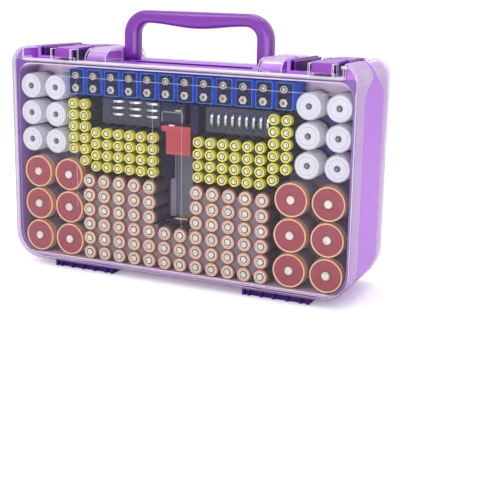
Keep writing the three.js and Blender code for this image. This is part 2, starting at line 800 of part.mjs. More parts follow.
// Hinge leaves under each lid and the pins through them
for (const h of hinges)
  for (const { name, s } of sides) {
    const high = z_low - finger_gap;
    const [b0, b1] = span(s * (hinge_y + leaf_reach), s * (hinge_y + leaf_reach - leaf_bar));
    const list = [box(h.from, h.to, b0, b1, finger_gap, high)];
    for (let i = 0; i < hinge_slots; i += 2) {
      const x0 = h.from + i * slot_width;
      const x1 = x0 + slot_width;
      const [f0, f1] = span(s * (hinge_y + leaf_reach - leaf_bar / 2), s * hinge_y);
      list.push(box(x0, x1, f0, f1, finger_gap, high));
      list.push(bar("x", knuckle_radius - finger_gap, x0, x1, s * hinge_y, hinge_z, knuckle_steps));
    }
    const hole = bar("x", hinge_pin_radius + running_gap, h.from - overrun, h.to + overrun,
      s * hinge_y, hinge_z, knuckle_steps);
    const pocket_y = hinge_y + leaf_reach;
    const [p0, p1] = span(s * (pocket_y + overrun), s * (pocket_y - leaf_pocket_depth));
    const room = hinge_length - leaf_rib;
    const pockets_cut = leaf_rib_shares.slice(1).map((share, i) =>
      box(h.from + leaf_rib_shares[i] * room + leaf_rib, h.from + share * room, p0, p1, 0,
        high - leaf_pocket_high));
    addPart(`hinge_leaf_${name}_${h.name}`, join(list).subtract(join([hole, ...pockets_cut])), dark_purple,
      { roughness: 0.45 });
    addPart(`hinge_pin_${name}_${h.name}`,
      pin("x", hinge_pin_radius, h.from, h.to, s * hinge_y, hinge_z, knuckle_steps),
      pin_steel, { roughness: 0.3, metalness: 1 });
  }

// Where the upright cells stand
const aa_places = [];
for (let c = 0; c < aa_columns; c++)
  for (let r = 0; r < aa_rows; r++) {
    if (aa_gap_columns.includes(c) && r >= aa_gap_rows) continue;
    aa_places.push([aa_centre_x + (c - (aa_columns - 1) / 2) * aa_pitch_x, aa_low_z + r * aa_pitch_z]);
  }

function aaaPlaces(s) {
  const list = [];
  aaa_edge_rows.forEach((rows, c) => {
    for (let r = 0; r < rows; r++)
      list.push([s * (aaa_outer_x - c * aaa_pitch_x), aaa_high_z - r * aaa_pitch_z]);
  });
  for (let c = 0; c < aaa_block_columns; c++)
    for (let r = 0; r < aaa_block_rows; r++)
      list.push([
        s * (aaa_outer_x - (c + aaa_edge_rows.length) * aaa_pitch_x),
        aaa_block_high_z - r * aaa_pitch_z,
      ]);
  return list;
}

function sidePlaces(s, inner, pitch_x, high, pitch_z, rows) {
  const list = [];
  for (let c = 0; c < side_columns; c++)
    for (let r = 0; r < rows; r++) list.push([s * (inner + c * pitch_x), high - r * pitch_z]);
  return list;
}

// A pad that all of the places stand on, with two ribs down to the partition.
function padUnder(places, half, y, floor, direction, half_x = half) {
  const xs = places.map((p) => p[0]);
  const zs = places.map((p) => p[1]);
  const x0 = Math.min(...xs) - half_x;
  const x1 = Math.max(...xs) + half_x;
  const z0 = Math.min(...zs) - half;
  const z1 = Math.max(...zs) + half;
  const [y0, y1] = span(y - direction * pad_overlap, y + direction * pad_thickness);
  const [r0, r1] = span(y + direction * (pad_thickness / 2), floor - direction * tray_gap);
  const list = [box(x0, x1, y0, y1, z0, z1)];
  for (const x of [x0 + pad_margin, x1 - pad_margin - pad_rib])
    list.push(box(x, x + pad_rib, r0, r1, z0 + pad_margin, z1 - pad_margin));
  return list;
}

function roundBank(name, places, radius, length, sides_count, nub, color, finish, pads = [places]) {
  const top = cell_top_y + (nub ? nub_height : 0);
  const bottom = cell_top_y + length;
  const list = places.map(([x, z]) => bar("y", radius, top, bottom, x, z, sides_count));
  if (nub)
    for (const [x, z] of places)
      list.push(bar("y", nub, cell_top_y, top + pad_overlap, x, z, nub_sides));
  const under = sides_count === small_cell_sides ? radius + tray_gap : radius / 2;
  for (const group of pads) list.push(...padUnder(group, under, bottom, partition_front_y, 1));
  addPart(name, join(list), color, finish);
}

roundBank("aa_cell_bank", aa_places, aa_radius, aa_length, small_cell_sides, 0, 0xb87a52,
  { roughness: 0.35 });
const aaa_left = aaaPlaces(-1);
const aaa_right = aaaPlaces(1);
const aaa_edge_count = aaa_edge_rows[0] + aaa_edge_rows[1];
// The narrow cells stand on one pad in four fields: edge columns, their last cell, a link, a block.
const aaaPads = (places) => [
  places.slice(0, aaa_edge_count - 1),
  places.slice(aaa_edge_count - 2, aaa_edge_count),
  [places[aaa_edge_rows[0] + 2], places[aaa_edge_count]],
  places.slice(aaa_edge_count),
];
const c_left = sidePlaces(-1, c_inner_x, c_pitch_x, c_high_z, c_pitch_z, c_rows);
const c_right = sidePlaces(1, c_inner_x, c_pitch_x, c_high_z, c_pitch_z, c_rows);
const d_left = sidePlaces(-1, d_inner_x, d_pitch_x, d_high_z, d_pitch_z, d_rows);
const d_right = sidePlaces(1, d_inner_x, d_pitch_x, d_high_z, d_pitch_z, d_rows);
roundBank("aaa_cell_bank_left", aaa_left, aaa_radius, aaa_length, small_cell_sides, 0, 0xcfc04e,
  { roughness: 0.35 }, aaaPads(aaa_left));
roundBank("aaa_cell_bank_right", aaa_right, aaa_radius, aaa_length, small_cell_sides, 0, 0xcfc04e,
  { roughness: 0.35 }, aaaPads(aaa_right));
roundBank("c_cell_bank_left", c_left, c_radius, c_length, large_cell_sides, c_nub_radius, 0xeceaea,
  { roughness: 0.4 });
roundBank("c_cell_bank_right", c_right, c_radius, c_length, large_cell_sides, c_nub_radius, 0xeceaea,
  { roughness: 0.4 });
roundBank("d_cell_bank_left", d_left, d_radius, d_length, large_cell_sides, d_nub_radius, 0xa6403c,
  { roughness: 0.4 });
roundBank("d_cell_bank_right", d_right, d_radius, d_length, large_cell_sides, d_nub_radius, 0xa6403c,
  { roughness: 0.4 });

// Row of twelve block cells with a round and a hexagonal snap each
const block_places = [];
for (let i = 0; i < block9_count; i++)
  block_places.push([(i - (block9_count - 1) / 2) * block9_pitch, block9_centre_z]);
{
  const top = cell_top_y + snap_height;
  const bottom = top + block9_length;
  const list = block_places.flatMap(([x, z]) => [
    box(x - block9_width / 2, x + block9_width / 2, top, bottom, z - block9_height / 2,
      z + block9_height / 2),
    bar("y", snap_radius, cell_top_y, top + pad_overlap, x, z + snap_spacing / 2, snap_sides),
    bar("y", snap_socket_radius, cell_top_y, top + pad_overlap, x, z - snap_spacing / 2,
      snap_socket_sides),
  ]);
  const under = block9_width / 2 - pad_margin;
  addPart("block_cell_bank",
    join([...list, ...padUnder(block_places, under, bottom, partition_front_y, 1)]),
    0x2f62b5, { roughness: 0.4 });
}

// Coin cells: three layers lying flat on the left, a row on edge on the right
const coin_y = -half_depth + coin_front_inset + coin_radius;
const coin_pad_y = deck_front_y - tray_gap;
{
  const list = [];
  const zs = [];
  for (let r = 0; r < flat_coin_rows; r++) zs.push(flat_coin_high_z - r * flat_coin_pitch_z);
  const xs = [];
  for (let c = 0; c < flat_coin_columns; c++) xs.push(flat_coin_first_x + c * flat_coin_pitch_x);
  for (const x of xs)
    for (const z of zs)
      list.push(bar("z", coin_radius, z - coin_thickness / 2, z + coin_thickness / 2, x, coin_y,
        coin_sides));
  const x0 = xs[0] - coin_radius / 2;
  const x1 = xs[xs.length - 1] + coin_radius / 2;
  list.push(box(x0, x1, coin_y + coin_radius - pad_overlap, coin_pad_y,
    zs[zs.length - 1] - coin_thickness / 2, zs[0] + coin_thickness / 2));
  addPart("coin_cells_left", join(list), 0xc4c8cc, { roughness: 0.25, metalness: 1 });
}
{
  const list = [];
  for (let i = 0; i < edge_coin_count; i++) {
    const x = edge_coin_first_x + i * edge_coin_pitch;
    list.push(bar("x", coin_radius, x - coin_thickness / 2, x + coin_thickness / 2, coin_y,
      edge_coin_z, coin_sides));
  }
  const last = edge_coin_first_x + (edge_coin_count - 1) * edge_coin_pitch;
  list.push(box(edge_coin_first_x - coin_thickness / 2, last + coin_thickness / 2,
    coin_y + coin_radius - pad_overlap, coin_pad_y, edge_coin_z - coin_radius / 2,
    edge_coin_z + coin_radius / 2));
  addPart("coin_cells_right", join(list), 0xc4c8cc, { roughness: 0.25, metalness: 1 });
}

// Battery tester standing on the deck, with a red slider that travels down its channel
const tester_floor_y = deck_front_y - tray_gap;
const tester_top_y = tester_floor_y - tester_height;
{
  const base_y = tester_floor_y - tester_base;
  const deep = tester_base / 2;
  let housing = join([
    box(tester_left, tester_right, base_y, tester_floor_y, tester_low, tester_high),
    box(tester_left, tester_meter_right, tester_top_y, base_y + deep, tester_meter_low, tester_high),
    box(tester_bar_left, tester_bar_right, tester_top_y, tester_floor_y, tester_bar_low, tester_high),
    box(tester_left, tester_column_right, base_y - tester_column_height, base_y + deep,
      tester_column_low, tester_column_high),
    box(tester_bar_left, tester_right, base_y - tester_rail_height, base_y + deep, tester_rail_low,
      tester_bar_low + overrun),
    box(tester_left, tester_right, base_y - tester_stop_height, base_y + deep, tester_low,
      tester_low + tester_stop),
  ]);
  const meter = [
    tester_left + meter_margin,
    tester_meter_right - meter_margin,
    tester_meter_low + meter_margin,
    tester_high - 2 * meter_margin,
  ];
  housing = housing.subtract(
    box(meter[0] - meter_proud, meter[1] + meter_proud, tester_top_y - overrun,
      tester_top_y + meter_thickness, meter[2] - meter_proud, meter[3] + meter_proud),
  );
  addPart("tester_housing", housing, 0x3b3d52, { roughness: 0.45 });
  addPart("tester_meter",
    box(meter[0], meter[1], tester_top_y + meter_proud, tester_top_y + meter_thickness - meter_proud,
      meter[2], meter[3]),
    0x1c1d24, { roughness: 0.15 });
  const x0 = tester_column_right + slider_gap;
  const x1 = tester_bar_left - slider_gap;
  const back = base_y - slider_gap;
  const front = back - slider_height + tester_base;
  const parts = [
    box(x0, x1, front, back, slider_low, slider_high),
    box(tester_left, x0 + overrun, front, front + slider_tab_thickness - slider_gap,
      slider_high - slider_tab, slider_high),
  ];
  for (let i = 0; i < slider_rib_count; i++) {
    const z = slider_low + slider_rib_pitch * (i + 1);
    parts.push(box(x0, x1, front - slider_rib_height, front + overrun, z, z + slider_rib));
  }
  addPart("tester_slider", join(parts), 0xc04c4e, { roughness: 0.45 });
  const foot = tester_low + tester_stop + seam_gap;
  addPart("tester_contact",
    box(-contact_half_width, contact_half_width, base_y - tester_stop_height + tester_base,
      base_y - tray_gap, foot, foot + contact_thickness),
    0xd5c27a, { roughness: 0.25, metalness: 1 });
}

// A tray's wall, just inside the ring body.
function trayWall(y0, y1) {
  return roomSolid(tray_offset, y0, y1).subtract(
    roomSolid(tray_inner_offset, y0 - overrun, y1 + overrun),
  );
}

// The slots of the middle cells, one for each column.
function aaSlots(y0, y1) {
  const half = aa_radius + cell_clearance;
  const list = [];
  for (let c = 0; c < aa_columns; c++) {
    const x = aa_centre_x + (c - (aa_columns - 1) / 2) * aa_pitch_x;
    const rows = aa_gap_columns.includes(c) ? aa_gap_rows : aa_rows;
    const high = aa_low_z + (rows - 1) * aa_pitch_z;
    if (rows) list.push(box(x - half, x + half, y0, y1, aa_low_z - half, high + half));
  }
  return list;
}

// The slots of the narrow cells, one for each column.
function aaaSlots(s, y0, y1) {
  const columns = [
    ...aaa_edge_rows.map((rows) => [aaa_high_z, rows]),
    ...Array(aaa_block_columns).fill([aaa_block_high_z, aaa_block_rows]),
  ];
  const half = aaa_radius + cell_clearance;
  return columns.map(([high, rows], c) => {
    const x = s * (aaa_outer_x - c * aaa_pitch_x);
    return box(x - half, x + half, y0, y1, high - (rows - 1) * aaa_pitch_z - half, high + half);
  });
}

// Front tray: a deck with a hole for every large cell and a slot for every column of small ones
{
  const deck = roomSolid(tray_offset, deck_front_y, deck_back_y);
  const y0 = deck_front_y - overrun;
  const y1 = deck_back_y + overrun;
  const round = (places, radius, count) =>
    places.map(([x, z]) => bar("y", radius + cell_clearance, y0, y1, x, z, count));
  const cuts = [
    ...aaSlots(y0, y1),
    ...[-1, 1].flatMap((s) => aaaSlots(s, y0, y1)),
    ...round([...c_left, ...c_right], c_radius, large_cell_sides),
    ...round([...d_left, ...d_right], d_radius, large_cell_sides),
    ...block_places.map(([x, z]) =>
      box(x - block9_width / 2 - cell_clearance, x + block9_width / 2 + cell_clearance, y0, y1,
        z - block9_height / 2 - cell_clearance, z + block9_height / 2 + cell_clearance)),
  ];
  const wall = trayWall(-half_depth + tray_edge_inset + tray_gap, partition_front_y - tray_gap);
  addPart("front_tray", deck.subtract(join(cuts)).add(wall), 0x8d8296, { roughness: 0.5 });
}

// Back tray: a deck with a rectangular pocket for every lying cell
const pockets = [];

function lyingBank(name, places, cell, color) {
  const list = places.map(([x, z]) =>
    bar("x", cell.radius, x - cell.length / 2, x + cell.length / 2, back_deck_y, z,
      back_cell_sides));
  const merged = cell.pitch - 2 * cell.radius - 2 * back_pocket_gap < rib_least && cell.rows;
  if (merged)
    for (const x of new Set(places.map((p) => p[0]))) {
      const reach = ((cell.rows - 1) * cell.pitch) / 2;
      pockets.push([x, cell.high - reach, cell.length / 2, cell.radius + reach]);
    }
  else for (const [x, z] of places) pockets.push([x, z, cell.length / 2, cell.radius]);
  const half = cell.radius / 2;
  addPart(name,
    join([
      ...list,
      ...padUnder(places, half, back_deck_y - cell.radius, partition_back_y, -1,
        cell.length / 2 + tray_gap),
    ]),
    color, { roughness: 0.4 });
}

const column = (x, cell) =>
  Array.from({ length: cell.rows }, (_, r) => [x, cell.high - r * cell.pitch]);
for (const { name, s } of [{ name: "left", s: -1 }, { name: "right", s: 1 }]) {
  lyingBank(`long_cell_bank_${name}`, column(s * cell_18650.x, cell_18650), cell_18650, 0xe8bb3c);
  lyingBank(`short_cell_bank_${name}`, column(s * cell_cr2.x, cell_cr2), cell_cr2, 0xd9e3ec);
  lyingBank(`photo_cell_bank_${name}`, column(s * cell_cr123.x, cell_cr123), cell_cr123, 0xd9e3ec);
  lyingBank(`back_aa_bank_${name}`, column(s * cell_back_aa.x, cell_back_aa), cell_back_aa, 0x3d4654);
  lyingBank(`back_aaa_bank_${name}`, column(s * cell_back_aaa.x, cell_back_aaa), cell_back_aaa,
    0x9aa3a8);
}
lyingBank("centre_cell_column", column(cell_centre.x, cell_centre), cell_centre, 0xdcd49a);
const rowPlaces = (cell, z) =>
  Array.from({ length: cell.count }, (_, i) => [(i - (cell.count - 1) / 2) * cell.pitch, z]);
lyingBank("remote_cell_row", rowPlaces(cell_a23, cell_a23.high), cell_a23, 0x8ea6b0);
lyingBank("lower_cell_row", rowPlaces(cell_foot, cell_foot.z), cell_foot, 0x5f9a72);
for (const { name, s } of [{ name: "left", s: -1 }, { name: "right", s: 1 }])
  lyingBank(`middle_cell_rows_${name}`, cell_mid.xs.flatMap((x) => column(s * x, cell_mid)),
    cell_mid, 0x5f9a72);
{
  const deck = roomSolid(tray_offset, back_deck_y - back_deck_thickness, back_deck_y);
  const y0 = back_deck_y - back_deck_thickness - overrun;
  const y1 = back_deck_y + overrun;
  const cuts = pockets.map(([x, z, half, r]) =>
    box(x - half - back_pocket_gap, x + half + back_pocket_gap, y0, y1, z - r - back_pocket_gap,
      z + r + back_pocket_gap));
  const wall = trayWall(partition_back_y + tray_gap, half_depth - tray_edge_inset - tray_gap);
  addPart("back_tray", deck.subtract(join(cuts)).add(wall), 0xb8a0d4, { roughness: 0.5 });
}

const group = new THREE.Group();
group.name = "battery_storage_case";
group.add(...solids);

export default group;
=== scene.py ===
import math

import bmesh
import bpy
import numpy as np
from mathutils import Matrix, Vector
from mathutils.bvhtree import BVHTree


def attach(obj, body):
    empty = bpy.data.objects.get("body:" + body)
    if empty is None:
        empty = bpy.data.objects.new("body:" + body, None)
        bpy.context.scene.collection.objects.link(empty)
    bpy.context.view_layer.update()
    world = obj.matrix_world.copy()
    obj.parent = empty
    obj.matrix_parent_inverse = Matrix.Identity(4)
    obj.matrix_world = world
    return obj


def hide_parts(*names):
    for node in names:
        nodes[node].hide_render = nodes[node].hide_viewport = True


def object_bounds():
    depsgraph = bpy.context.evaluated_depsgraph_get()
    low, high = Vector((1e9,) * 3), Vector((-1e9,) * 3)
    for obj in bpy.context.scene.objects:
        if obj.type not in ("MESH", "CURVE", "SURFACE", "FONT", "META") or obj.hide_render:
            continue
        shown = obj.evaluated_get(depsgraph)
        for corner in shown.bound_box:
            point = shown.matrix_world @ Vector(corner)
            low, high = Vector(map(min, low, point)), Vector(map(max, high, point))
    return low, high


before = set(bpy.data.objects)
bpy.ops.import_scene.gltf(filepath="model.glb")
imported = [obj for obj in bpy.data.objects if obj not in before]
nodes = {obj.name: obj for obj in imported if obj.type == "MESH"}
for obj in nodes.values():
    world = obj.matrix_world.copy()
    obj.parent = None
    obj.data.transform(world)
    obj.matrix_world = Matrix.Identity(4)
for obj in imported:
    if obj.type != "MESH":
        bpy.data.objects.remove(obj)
cad_box = [list(corner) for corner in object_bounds()]
MM = 0.001
HALF_WIDTH, HALF_DEPTH, CASE_TOP = (round(reach / MM, 3) for reach in cad_box[1])
LEFT_RIGHT = (("left", -1), ("right", 1))
FRONT_BACK = (("front", -1), ("back", 1))


# Colours and shader nodes
def srgb(r, g, b):
    """A screen colour, each part 0 to 255, as linear light."""
    def linear(c):
        c = c / 255
        return c / 12.92 if c <= 0.04045 else ((c + 0.055) / 1.055) ** 2.4

    return (linear(r), linear(g), linear(b), 1.0)


def scaled(colour, factor):
    return tuple(min(1, c * factor) for c in colour[:3]) + (1,)


def new_tree(name):
    material = bpy.data.materials.new(name)
    material.use_nodes = True
    material.node_tree.nodes.clear()
    return material, material.node_tree


def connect(tree, source, socket):
    """Links a socket to a source, or sets it where the source is a plain value."""
    if isinstance(source, bpy.types.NodeSocket):
        tree.links.new(source, socket)
    else:
        socket.default_value = source


def map_range(tree, source, take, give):
    """Carries the range take over to the range give, held at its ends."""
    node = tree.nodes.new("ShaderNodeMapRange")
    node.inputs[1].default_value, node.inputs[2].default_value = take
    node.inputs[3].default_value, node.inputs[4].default_value = give
    connect(tree, source, node.inputs[0])
    return node.outputs[0]


def calculate(tree, operation, *terms):
    node = tree.nodes.new("ShaderNodeMath")
    node.operation = operation
    for term, socket in zip(terms, node.inputs):
        connect(tree, term, socket)
    return node.outputs[0]


def mix_colour(tree, share, first, second):
    node = tree.nodes.new("ShaderNodeMix")
    node.data_type = "RGBA"
    connect(tree, share, node.inputs[0])
    connect(tree, first, node.inputs[6])
    connect(tree, second, node.inputs[7])
    return node.outputs[2]


def mix_shader(tree, share, first, second):
    node = tree.nodes.new("ShaderNodeMixShader")
    for source, socket in zip((share, first, second), node.inputs):
        connect(tree, source, socket)
    return node.outputs[0]


def object_place(tree):
    return tree.nodes.new("ShaderNodeTexCoord").outputs["Object"]


def noise(tree, scale, detail=2):
    node = tree.nodes.new("ShaderNodeTexNoise")
    node.inputs["Scale"].default_value = scale
    node.inputs["Detail"].default_value = detail
    connect(tree, object_place(tree), node.inputs["Vector"])
    return node.outputs[0]


# Materials
BROADER, FINER = 6, 12
ROUGH_SPREAD = 0.08
COAT_ROUGH = 0.08
BUMP_DEPTH = 0.0004
SHEET_TINT = (0.995, 0.99, 1, 1)
SHEET_ROUGH = 0.12
SHEET_IOR = 1.35
SHEEN_AND_MILK_SCALE = 9
SHEEN_AND_MILK_VARY = 1.12
SIDE_ON, FACE_ON = 0.3, 0.985


def plastic(name, colour, rough=0.35, vary=0.06, scale=90.0, bump=0.02, coat=0.0, metallic=0.0,
            shine=0.5):
    """Moulded plastic or metal: base colour and roughness drift slightly over the piece."""
    material, tree = new_tree(name)
    shader = tree.nodes.new("ShaderNodeBsdfPrincipled")
    output = tree.nodes.new("ShaderNodeOutputMaterial")
    connect(tree, shader.outputs[0], output.inputs[0])
    broad = noise(tree, scale / BROADER)
    fine = noise(tree, scale * FINER, detail=3)
    tint = mix_colour(tree, broad, scaled(colour, 1 - vary), scaled(colour, 1 + vary))
    connect(tree, tint, shader.inputs["Base Color"])
    roughness = map_range(tree, fine, (0, 1), (rough - ROUGH_SPREAD, rough + ROUGH_SPREAD))
    connect(tree, roughness, shader.inputs["Roughness"])
    shader.inputs["Metallic"].default_value = metallic
    shader.inputs["Specular IOR Level"].default_value = shine
    shader.inputs["Coat Weight"].default_value = coat
    shader.inputs["Coat Roughness"].default_value = COAT_ROUGH
    if bump:
        relief = tree.nodes.new("ShaderNodeBump")
        relief.inputs["Strength"].default_value = bump
        relief.inputs["Distance"].default_value = BUMP_DEPTH
        connect(tree, fine, relief.inputs["Height"])
        connect(tree, relief.outputs[0], shader.inputs["Normal"])
    return material


def clear_plastic(name, tint, sheen_and_haze_face, sheen_and_haze_side, shine_share):
    """Thin clear sheet: the face stays clear with a slight haze, while rounded edges and side walls turn
    milky white, a painted sheen where they face sideways.
    """
    material, tree = new_tree(name)
    output = tree.nodes.new("ShaderNodeOutputMaterial")
    through = tree.nodes.new("ShaderNodeBsdfTransparent")
    through.inputs[0].default_value = SHEET_TINT
    sheen_and_milk = tree.nodes.new("ShaderNodeBsdfDiffuse")
    sheen_and_milky = mix_colour(tree, noise(tree, SHEEN_AND_MILK_SCALE), tint, scaled(tint, SHEEN_AND_MILK_VARY))
    connect(tree, sheen_and_milky, sheen_and_milk.inputs[0])
    gloss = tree.nodes.new("ShaderNodeBsdfGlossy")
    gloss.inputs["Roughness"].default_value = SHEET_ROUGH
    normal = tree.nodes.new("ShaderNodeSeparateXYZ")
    connect(tree, tree.nodes.new("ShaderNodeNewGeometry").outputs["True Normal"], normal.inputs[0])
    facing = calculate(tree, "ABSOLUTE", normal.outputs[1])
    sheen_and_haze = map_range(tree, facing, (SIDE_ON, FACE_ON), (sheen_and_haze_side, sheen_and_haze_face))
    sheet = mix_shader(tree, sheen_and_haze, through.outputs[0], sheen_and_milk.outputs[0])
    fresnel = tree.nodes.new("ShaderNodeFresnel")
    fresnel.inputs[0].default_value = SHEET_IOR
    mirror = calculate(tree, "MULTIPLY", fresnel.outputs[0], shine_share)
    connect(tree, mix_shader(tree, mirror, sheet, gloss.outputs[0]), output.inputs[0])
    return material


ANY = (None, None)


def zone(material, colour, soft, x=ANY, y=ANY, z=ANY, mirror_y=False):
    """Another colour inside a box in X (mirrored), Y and Z, in millimetres, with soft limits."""
    tree = material.node_tree
    shader = next(node for node in tree.nodes if node.type == "BSDF_PRINCIPLED")
    base = shader.inputs["Base Color"].links[0].from_socket
    place = tree.nodes.new("ShaderNodeSeparateXYZ")
    connect(tree, object_place(tree), place.inputs[0])
    across = calculate(tree, "ABSOLUTE", place.outputs[0])
    along = place.outputs[1]
    if mirror_y:
        along = calculate(tree, "ABSOLUTE", along)
    share = 1.0
    for socket, (low, high) in zip((across, along, place.outputs[2]), (x, y, z)):
        for limit, give in ((low, (0, 1)), (high, (1, 0))):
            if limit is not None:
                inside = map_range(tree, socket, ((limit - soft) * MM, (limit + soft) * MM), give)
                share = calculate(tree, "MULTIPLY", share, inside)
    connect(tree, mix_colour(tree, share, base, colour), shader.inputs["Base Color"])


# Case materials, with zones of painted light and shade on the body: painted shade on the strip under the
# handle, on the rim walls and in the latch wells, and painted light on the rim floor
PURPLE = plastic("purple_body", srgb(181, 108, 223), 0.36, shine=0.3)
# painted shade: the top strip of the body under the handle is darker, where the handle shades it
zone(PURPLE, srgb(163, 86, 208), 0.6, x=(None, 84.2), z=(217, 222))
# painted shade: the body's rim zone near the front and back is darker up the walls
zone(PURPLE, srgb(120, 82, 160), 0.15, y=(50.3, None), z=(14, 219), mirror_y=True)
# painted light: the same rim zone is lighter along the bottom
zone(PURPLE, srgb(206, 182, 226), 0.15, y=(50.3, None), z=(None, 14), mirror_y=True)
# painted shade: the insides of the latch wells are dark
zone(PURPLE, srgb(84, 35, 121), 0.4, x=(114.5, 167), y=(None, 37.4), z=(220.6, 231.5), mirror_y=True)
HANDLE = plastic("handle_purple", srgb(121, 37, 161), 0.24, coat=0.35)
# painted shadow: a dark purple strip stands for the shade in the seam between lid and body on the top
GROOVE_SHADE = plastic("groove_shade_purple", srgb(104, 24, 148), 0.5, shine=0.1)
LATCH = plastic("latch_purple", srgb(137, 57, 175), 0.3, shine=0.35)
HINGE = plastic("hinge_purple", srgb(126, 57, 179), 0.5, shine=0.2)
# painted shade: the pocket floors of the hinge leaves are darker
zone(HINGE, srgb(57, 15, 112), 0.5, y=(None, 53.2), z=(None, 8.4), mirror_y=True)
STEEL = plastic("pin_steel", srgb(212, 214, 221), 0.28, metallic=1.0, bump=0)
# painted sheen: the clear lid's side walls and rounded edges are milky white, its face nearly clear
CLEAR = clear_plastic("clear_lid", srgb(240, 216, 255), 0.008, 0.42, 0.45)
# painted highlight: a milky white for the lines along the lid's edges and for its top ledge, where the edges
# catch light
RIM_HIGHLIGHT = clear_plastic("lid_rim_highlight", srgb(254, 250, 255), 0.55, 0.75, 0.5)

# Tray materials, with zones of painted shade behind the C and block cells, then painted light along the top
# and bottom walls, and purple along the side walls
DECK = plastic("front_tray_plastic", srgb(126, 115, 126), 0.42, bump=0.03, shine=0.2)
# painted shade: navy zones behind the C cells and in the block cells' compartment
zone(DECK, srgb(79, 68, 188), 5, x=(126, None), z=(119, 199))
zone(DECK, srgb(46, 59, 135), 1.5, x=(None, 127), z=(187, 212))
# painted light: near-white zones on the top wall above the block and C cells
zone(DECK, srgb(248, 234, 248), 1, x=(None, 127), z=(213, None))
zone(DECK, srgb(248, 228, 248), 4, x=(127, None), z=(200, None))
zone(DECK, srgb(157, 117, 197), 3, x=(178, None), y=(None, -17.5))
# painted light: a near-white zone on the bottom wall
zone(DECK, srgb(248, 223, 248), 0.4, y=(None, -17.5), z=(None, 13.2))
BACK_TRAY = plastic("back_tray_plastic", srgb(219, 192, 248), 0.42, bump=0.03)
HOLDER = plastic("d_holder", srgb(152, 140, 162), 0.35, shine=0.3)
COLLAR = plastic("pocket_collar", srgb(75, 70, 79), 0.35)
TUBE = plastic("aaa_holder", srgb(39, 64, 70), 0.35, shine=0.15)
RACK = plastic("coin_rack", srgb(70, 75, 90), 0.4, shine=0.15)
PALE_RIB = plastic("tray_rib", srgb(248, 237, 248), 0.4)

# Tester materials
NAVY = plastic("tester_navy", srgb(33, 33, 70), 0.5, shine=0.15)
BLACK = plastic("meter_window", srgb(19, 24, 39), 0.5, bump=0)
RED = plastic("slider_red", srgb(190, 66, 72), 0.42)
BRASS = plastic("contact_brass", srgb(239, 212, 135), 0.25, metallic=1.0, bump=0)
SLOT = plastic("slot_floor", srgb(99, 106, 121), 0.5)
SLOT_EDGE = plastic("slot_edge", srgb(168, 150, 168), 0.45)
FRAME_GREY = plastic("meter_frame", srgb(126, 135, 148), 0.35, metallic=0.3)

# Cell materials
SILVER = plastic("terminal_silver", srgb(222, 220, 206), 0.34, vary=0.3, scale=1500, metallic=0.45, bump=0)
# painted shade: near black in the recessed rings about the nubs and in the hollows of the snaps
DARK_GAP = plastic("terminal_gap", srgb(41, 30, 35), 0.6, bump=0)
PLATE = plastic("cell_end_plate", srgb(248, 243, 230), 0.4, metallic=0.1, bump=0)
PINK = plastic("aa_inner_band", srgb(248, 214, 188), 0.36, bump=0)
RUST = plastic("aa_dark_band", srgb(124, 64, 48), 0.4, bump=0)
# painted shade: a dark ring in the recess about each AA nub
TAUPE = plastic("aa_nub_shade", srgb(64, 48, 48), 0.5, bump=0)
COPPER = plastic("aa_sleeve", srgb(219, 126, 75), 0.3, metallic=0.35, bump=0)
# painted highlight: lighter copper on the rounded shoulder of the AA ends; on the back AA cells it is a real
# printed band
COPPER_EDGE = plastic("aa_sleeve_edge", srgb(228, 152, 108), 0.34, metallic=0.1, bump=0)
MAUVE = plastic("aaa_nub", srgb(248, 248, 248), 0.36, metallic=0.3, bump=0)
OLIVE = plastic("aaa_dark_band", srgb(75, 68, 30), 0.4, shine=0.2, bump=0)
YELLOW = plastic("aaa_sleeve", srgb(230, 221, 50), 0.34, bump=0)
# painted highlight: lighter yellow on the front-facing ring of the AAA ends
YELLOW_EDGE = plastic("aaa_sleeve_edge", srgb(246, 241, 75), 0.34, bump=0)
AAA_PLATE = plastic("aaa_end_plate", srgb(237, 232, 219), 0.4, metallic=0.1, bump=0)
WHITE = plastic("c_sleeve", srgb(223, 224, 232), 0.4, bump=0)
# grey rings on the C cells' ends: a printed line at the label's edge, and painted shade on the rounded
# shoulder
MIST = plastic("c_ring", srgb(192, 195, 206), 0.4, bump=0)
GREY = plastic("c_terminal", srgb(121, 124, 132), 0.35, metallic=0.5, bump=0)
D_FACE = plastic("d_face", srgb(156, 56, 72), 0.34, bump=0)
D_RING = plastic("d_ring", srgb(252, 202, 154), 0.3, bump=0)
D_SLEEVE = plastic("d_sleeve", srgb(240, 176, 116), 0.32, metallic=0.3, bump=0)
BLUE = plastic("block_sleeve", srgb(15, 101, 239), 0.34, shine=0.25, bump=0)
# painted highlight: lighter blue on the front edge of the block cells' sleeves
BLUE_EDGE = plastic("block_sleeve_edge", srgb(39, 130, 248), 0.34, shine=0.3, bump=0)
BLOCK_TOP = plastic("block_top", srgb(28, 33, 68), 0.5, shine=0.12)
SNAP_CORE = plastic("snap_core", srgb(143, 143, 132), 0.45, metallic=0.5, bump=0)
COIN = plastic("coin_steel", srgb(197, 199, 203), 0.26, metallic=0.8, bump=0, vary=0.12)
AMBER = plastic("long_cell_sleeve", srgb(248, 230, 75), 0.34, bump=0)
LABEL = plastic("long_cell_label", srgb(248, 248, 168), 0.36, bump=0)
PALE = plastic("photo_cell_sleeve", srgb(248, 248, 248), 0.36, bump=0)
SPOT = plastic("photo_cell_band", srgb(79, 157, 234), 0.36, bump=0)
CHAR = plastic("back_aa_sleeve", srgb(70, 77, 92), 0.32, bump=0)
ASH = plastic("back_aaa_sleeve", srgb(179, 186, 192), 0.34, bump=0)
CREAM = plastic("button_sleeve", srgb(248, 243, 179), 0.36, bump=0)
SLATE = plastic("remote_sleeve", srgb(168, 179, 179), 0.36, bump=0)
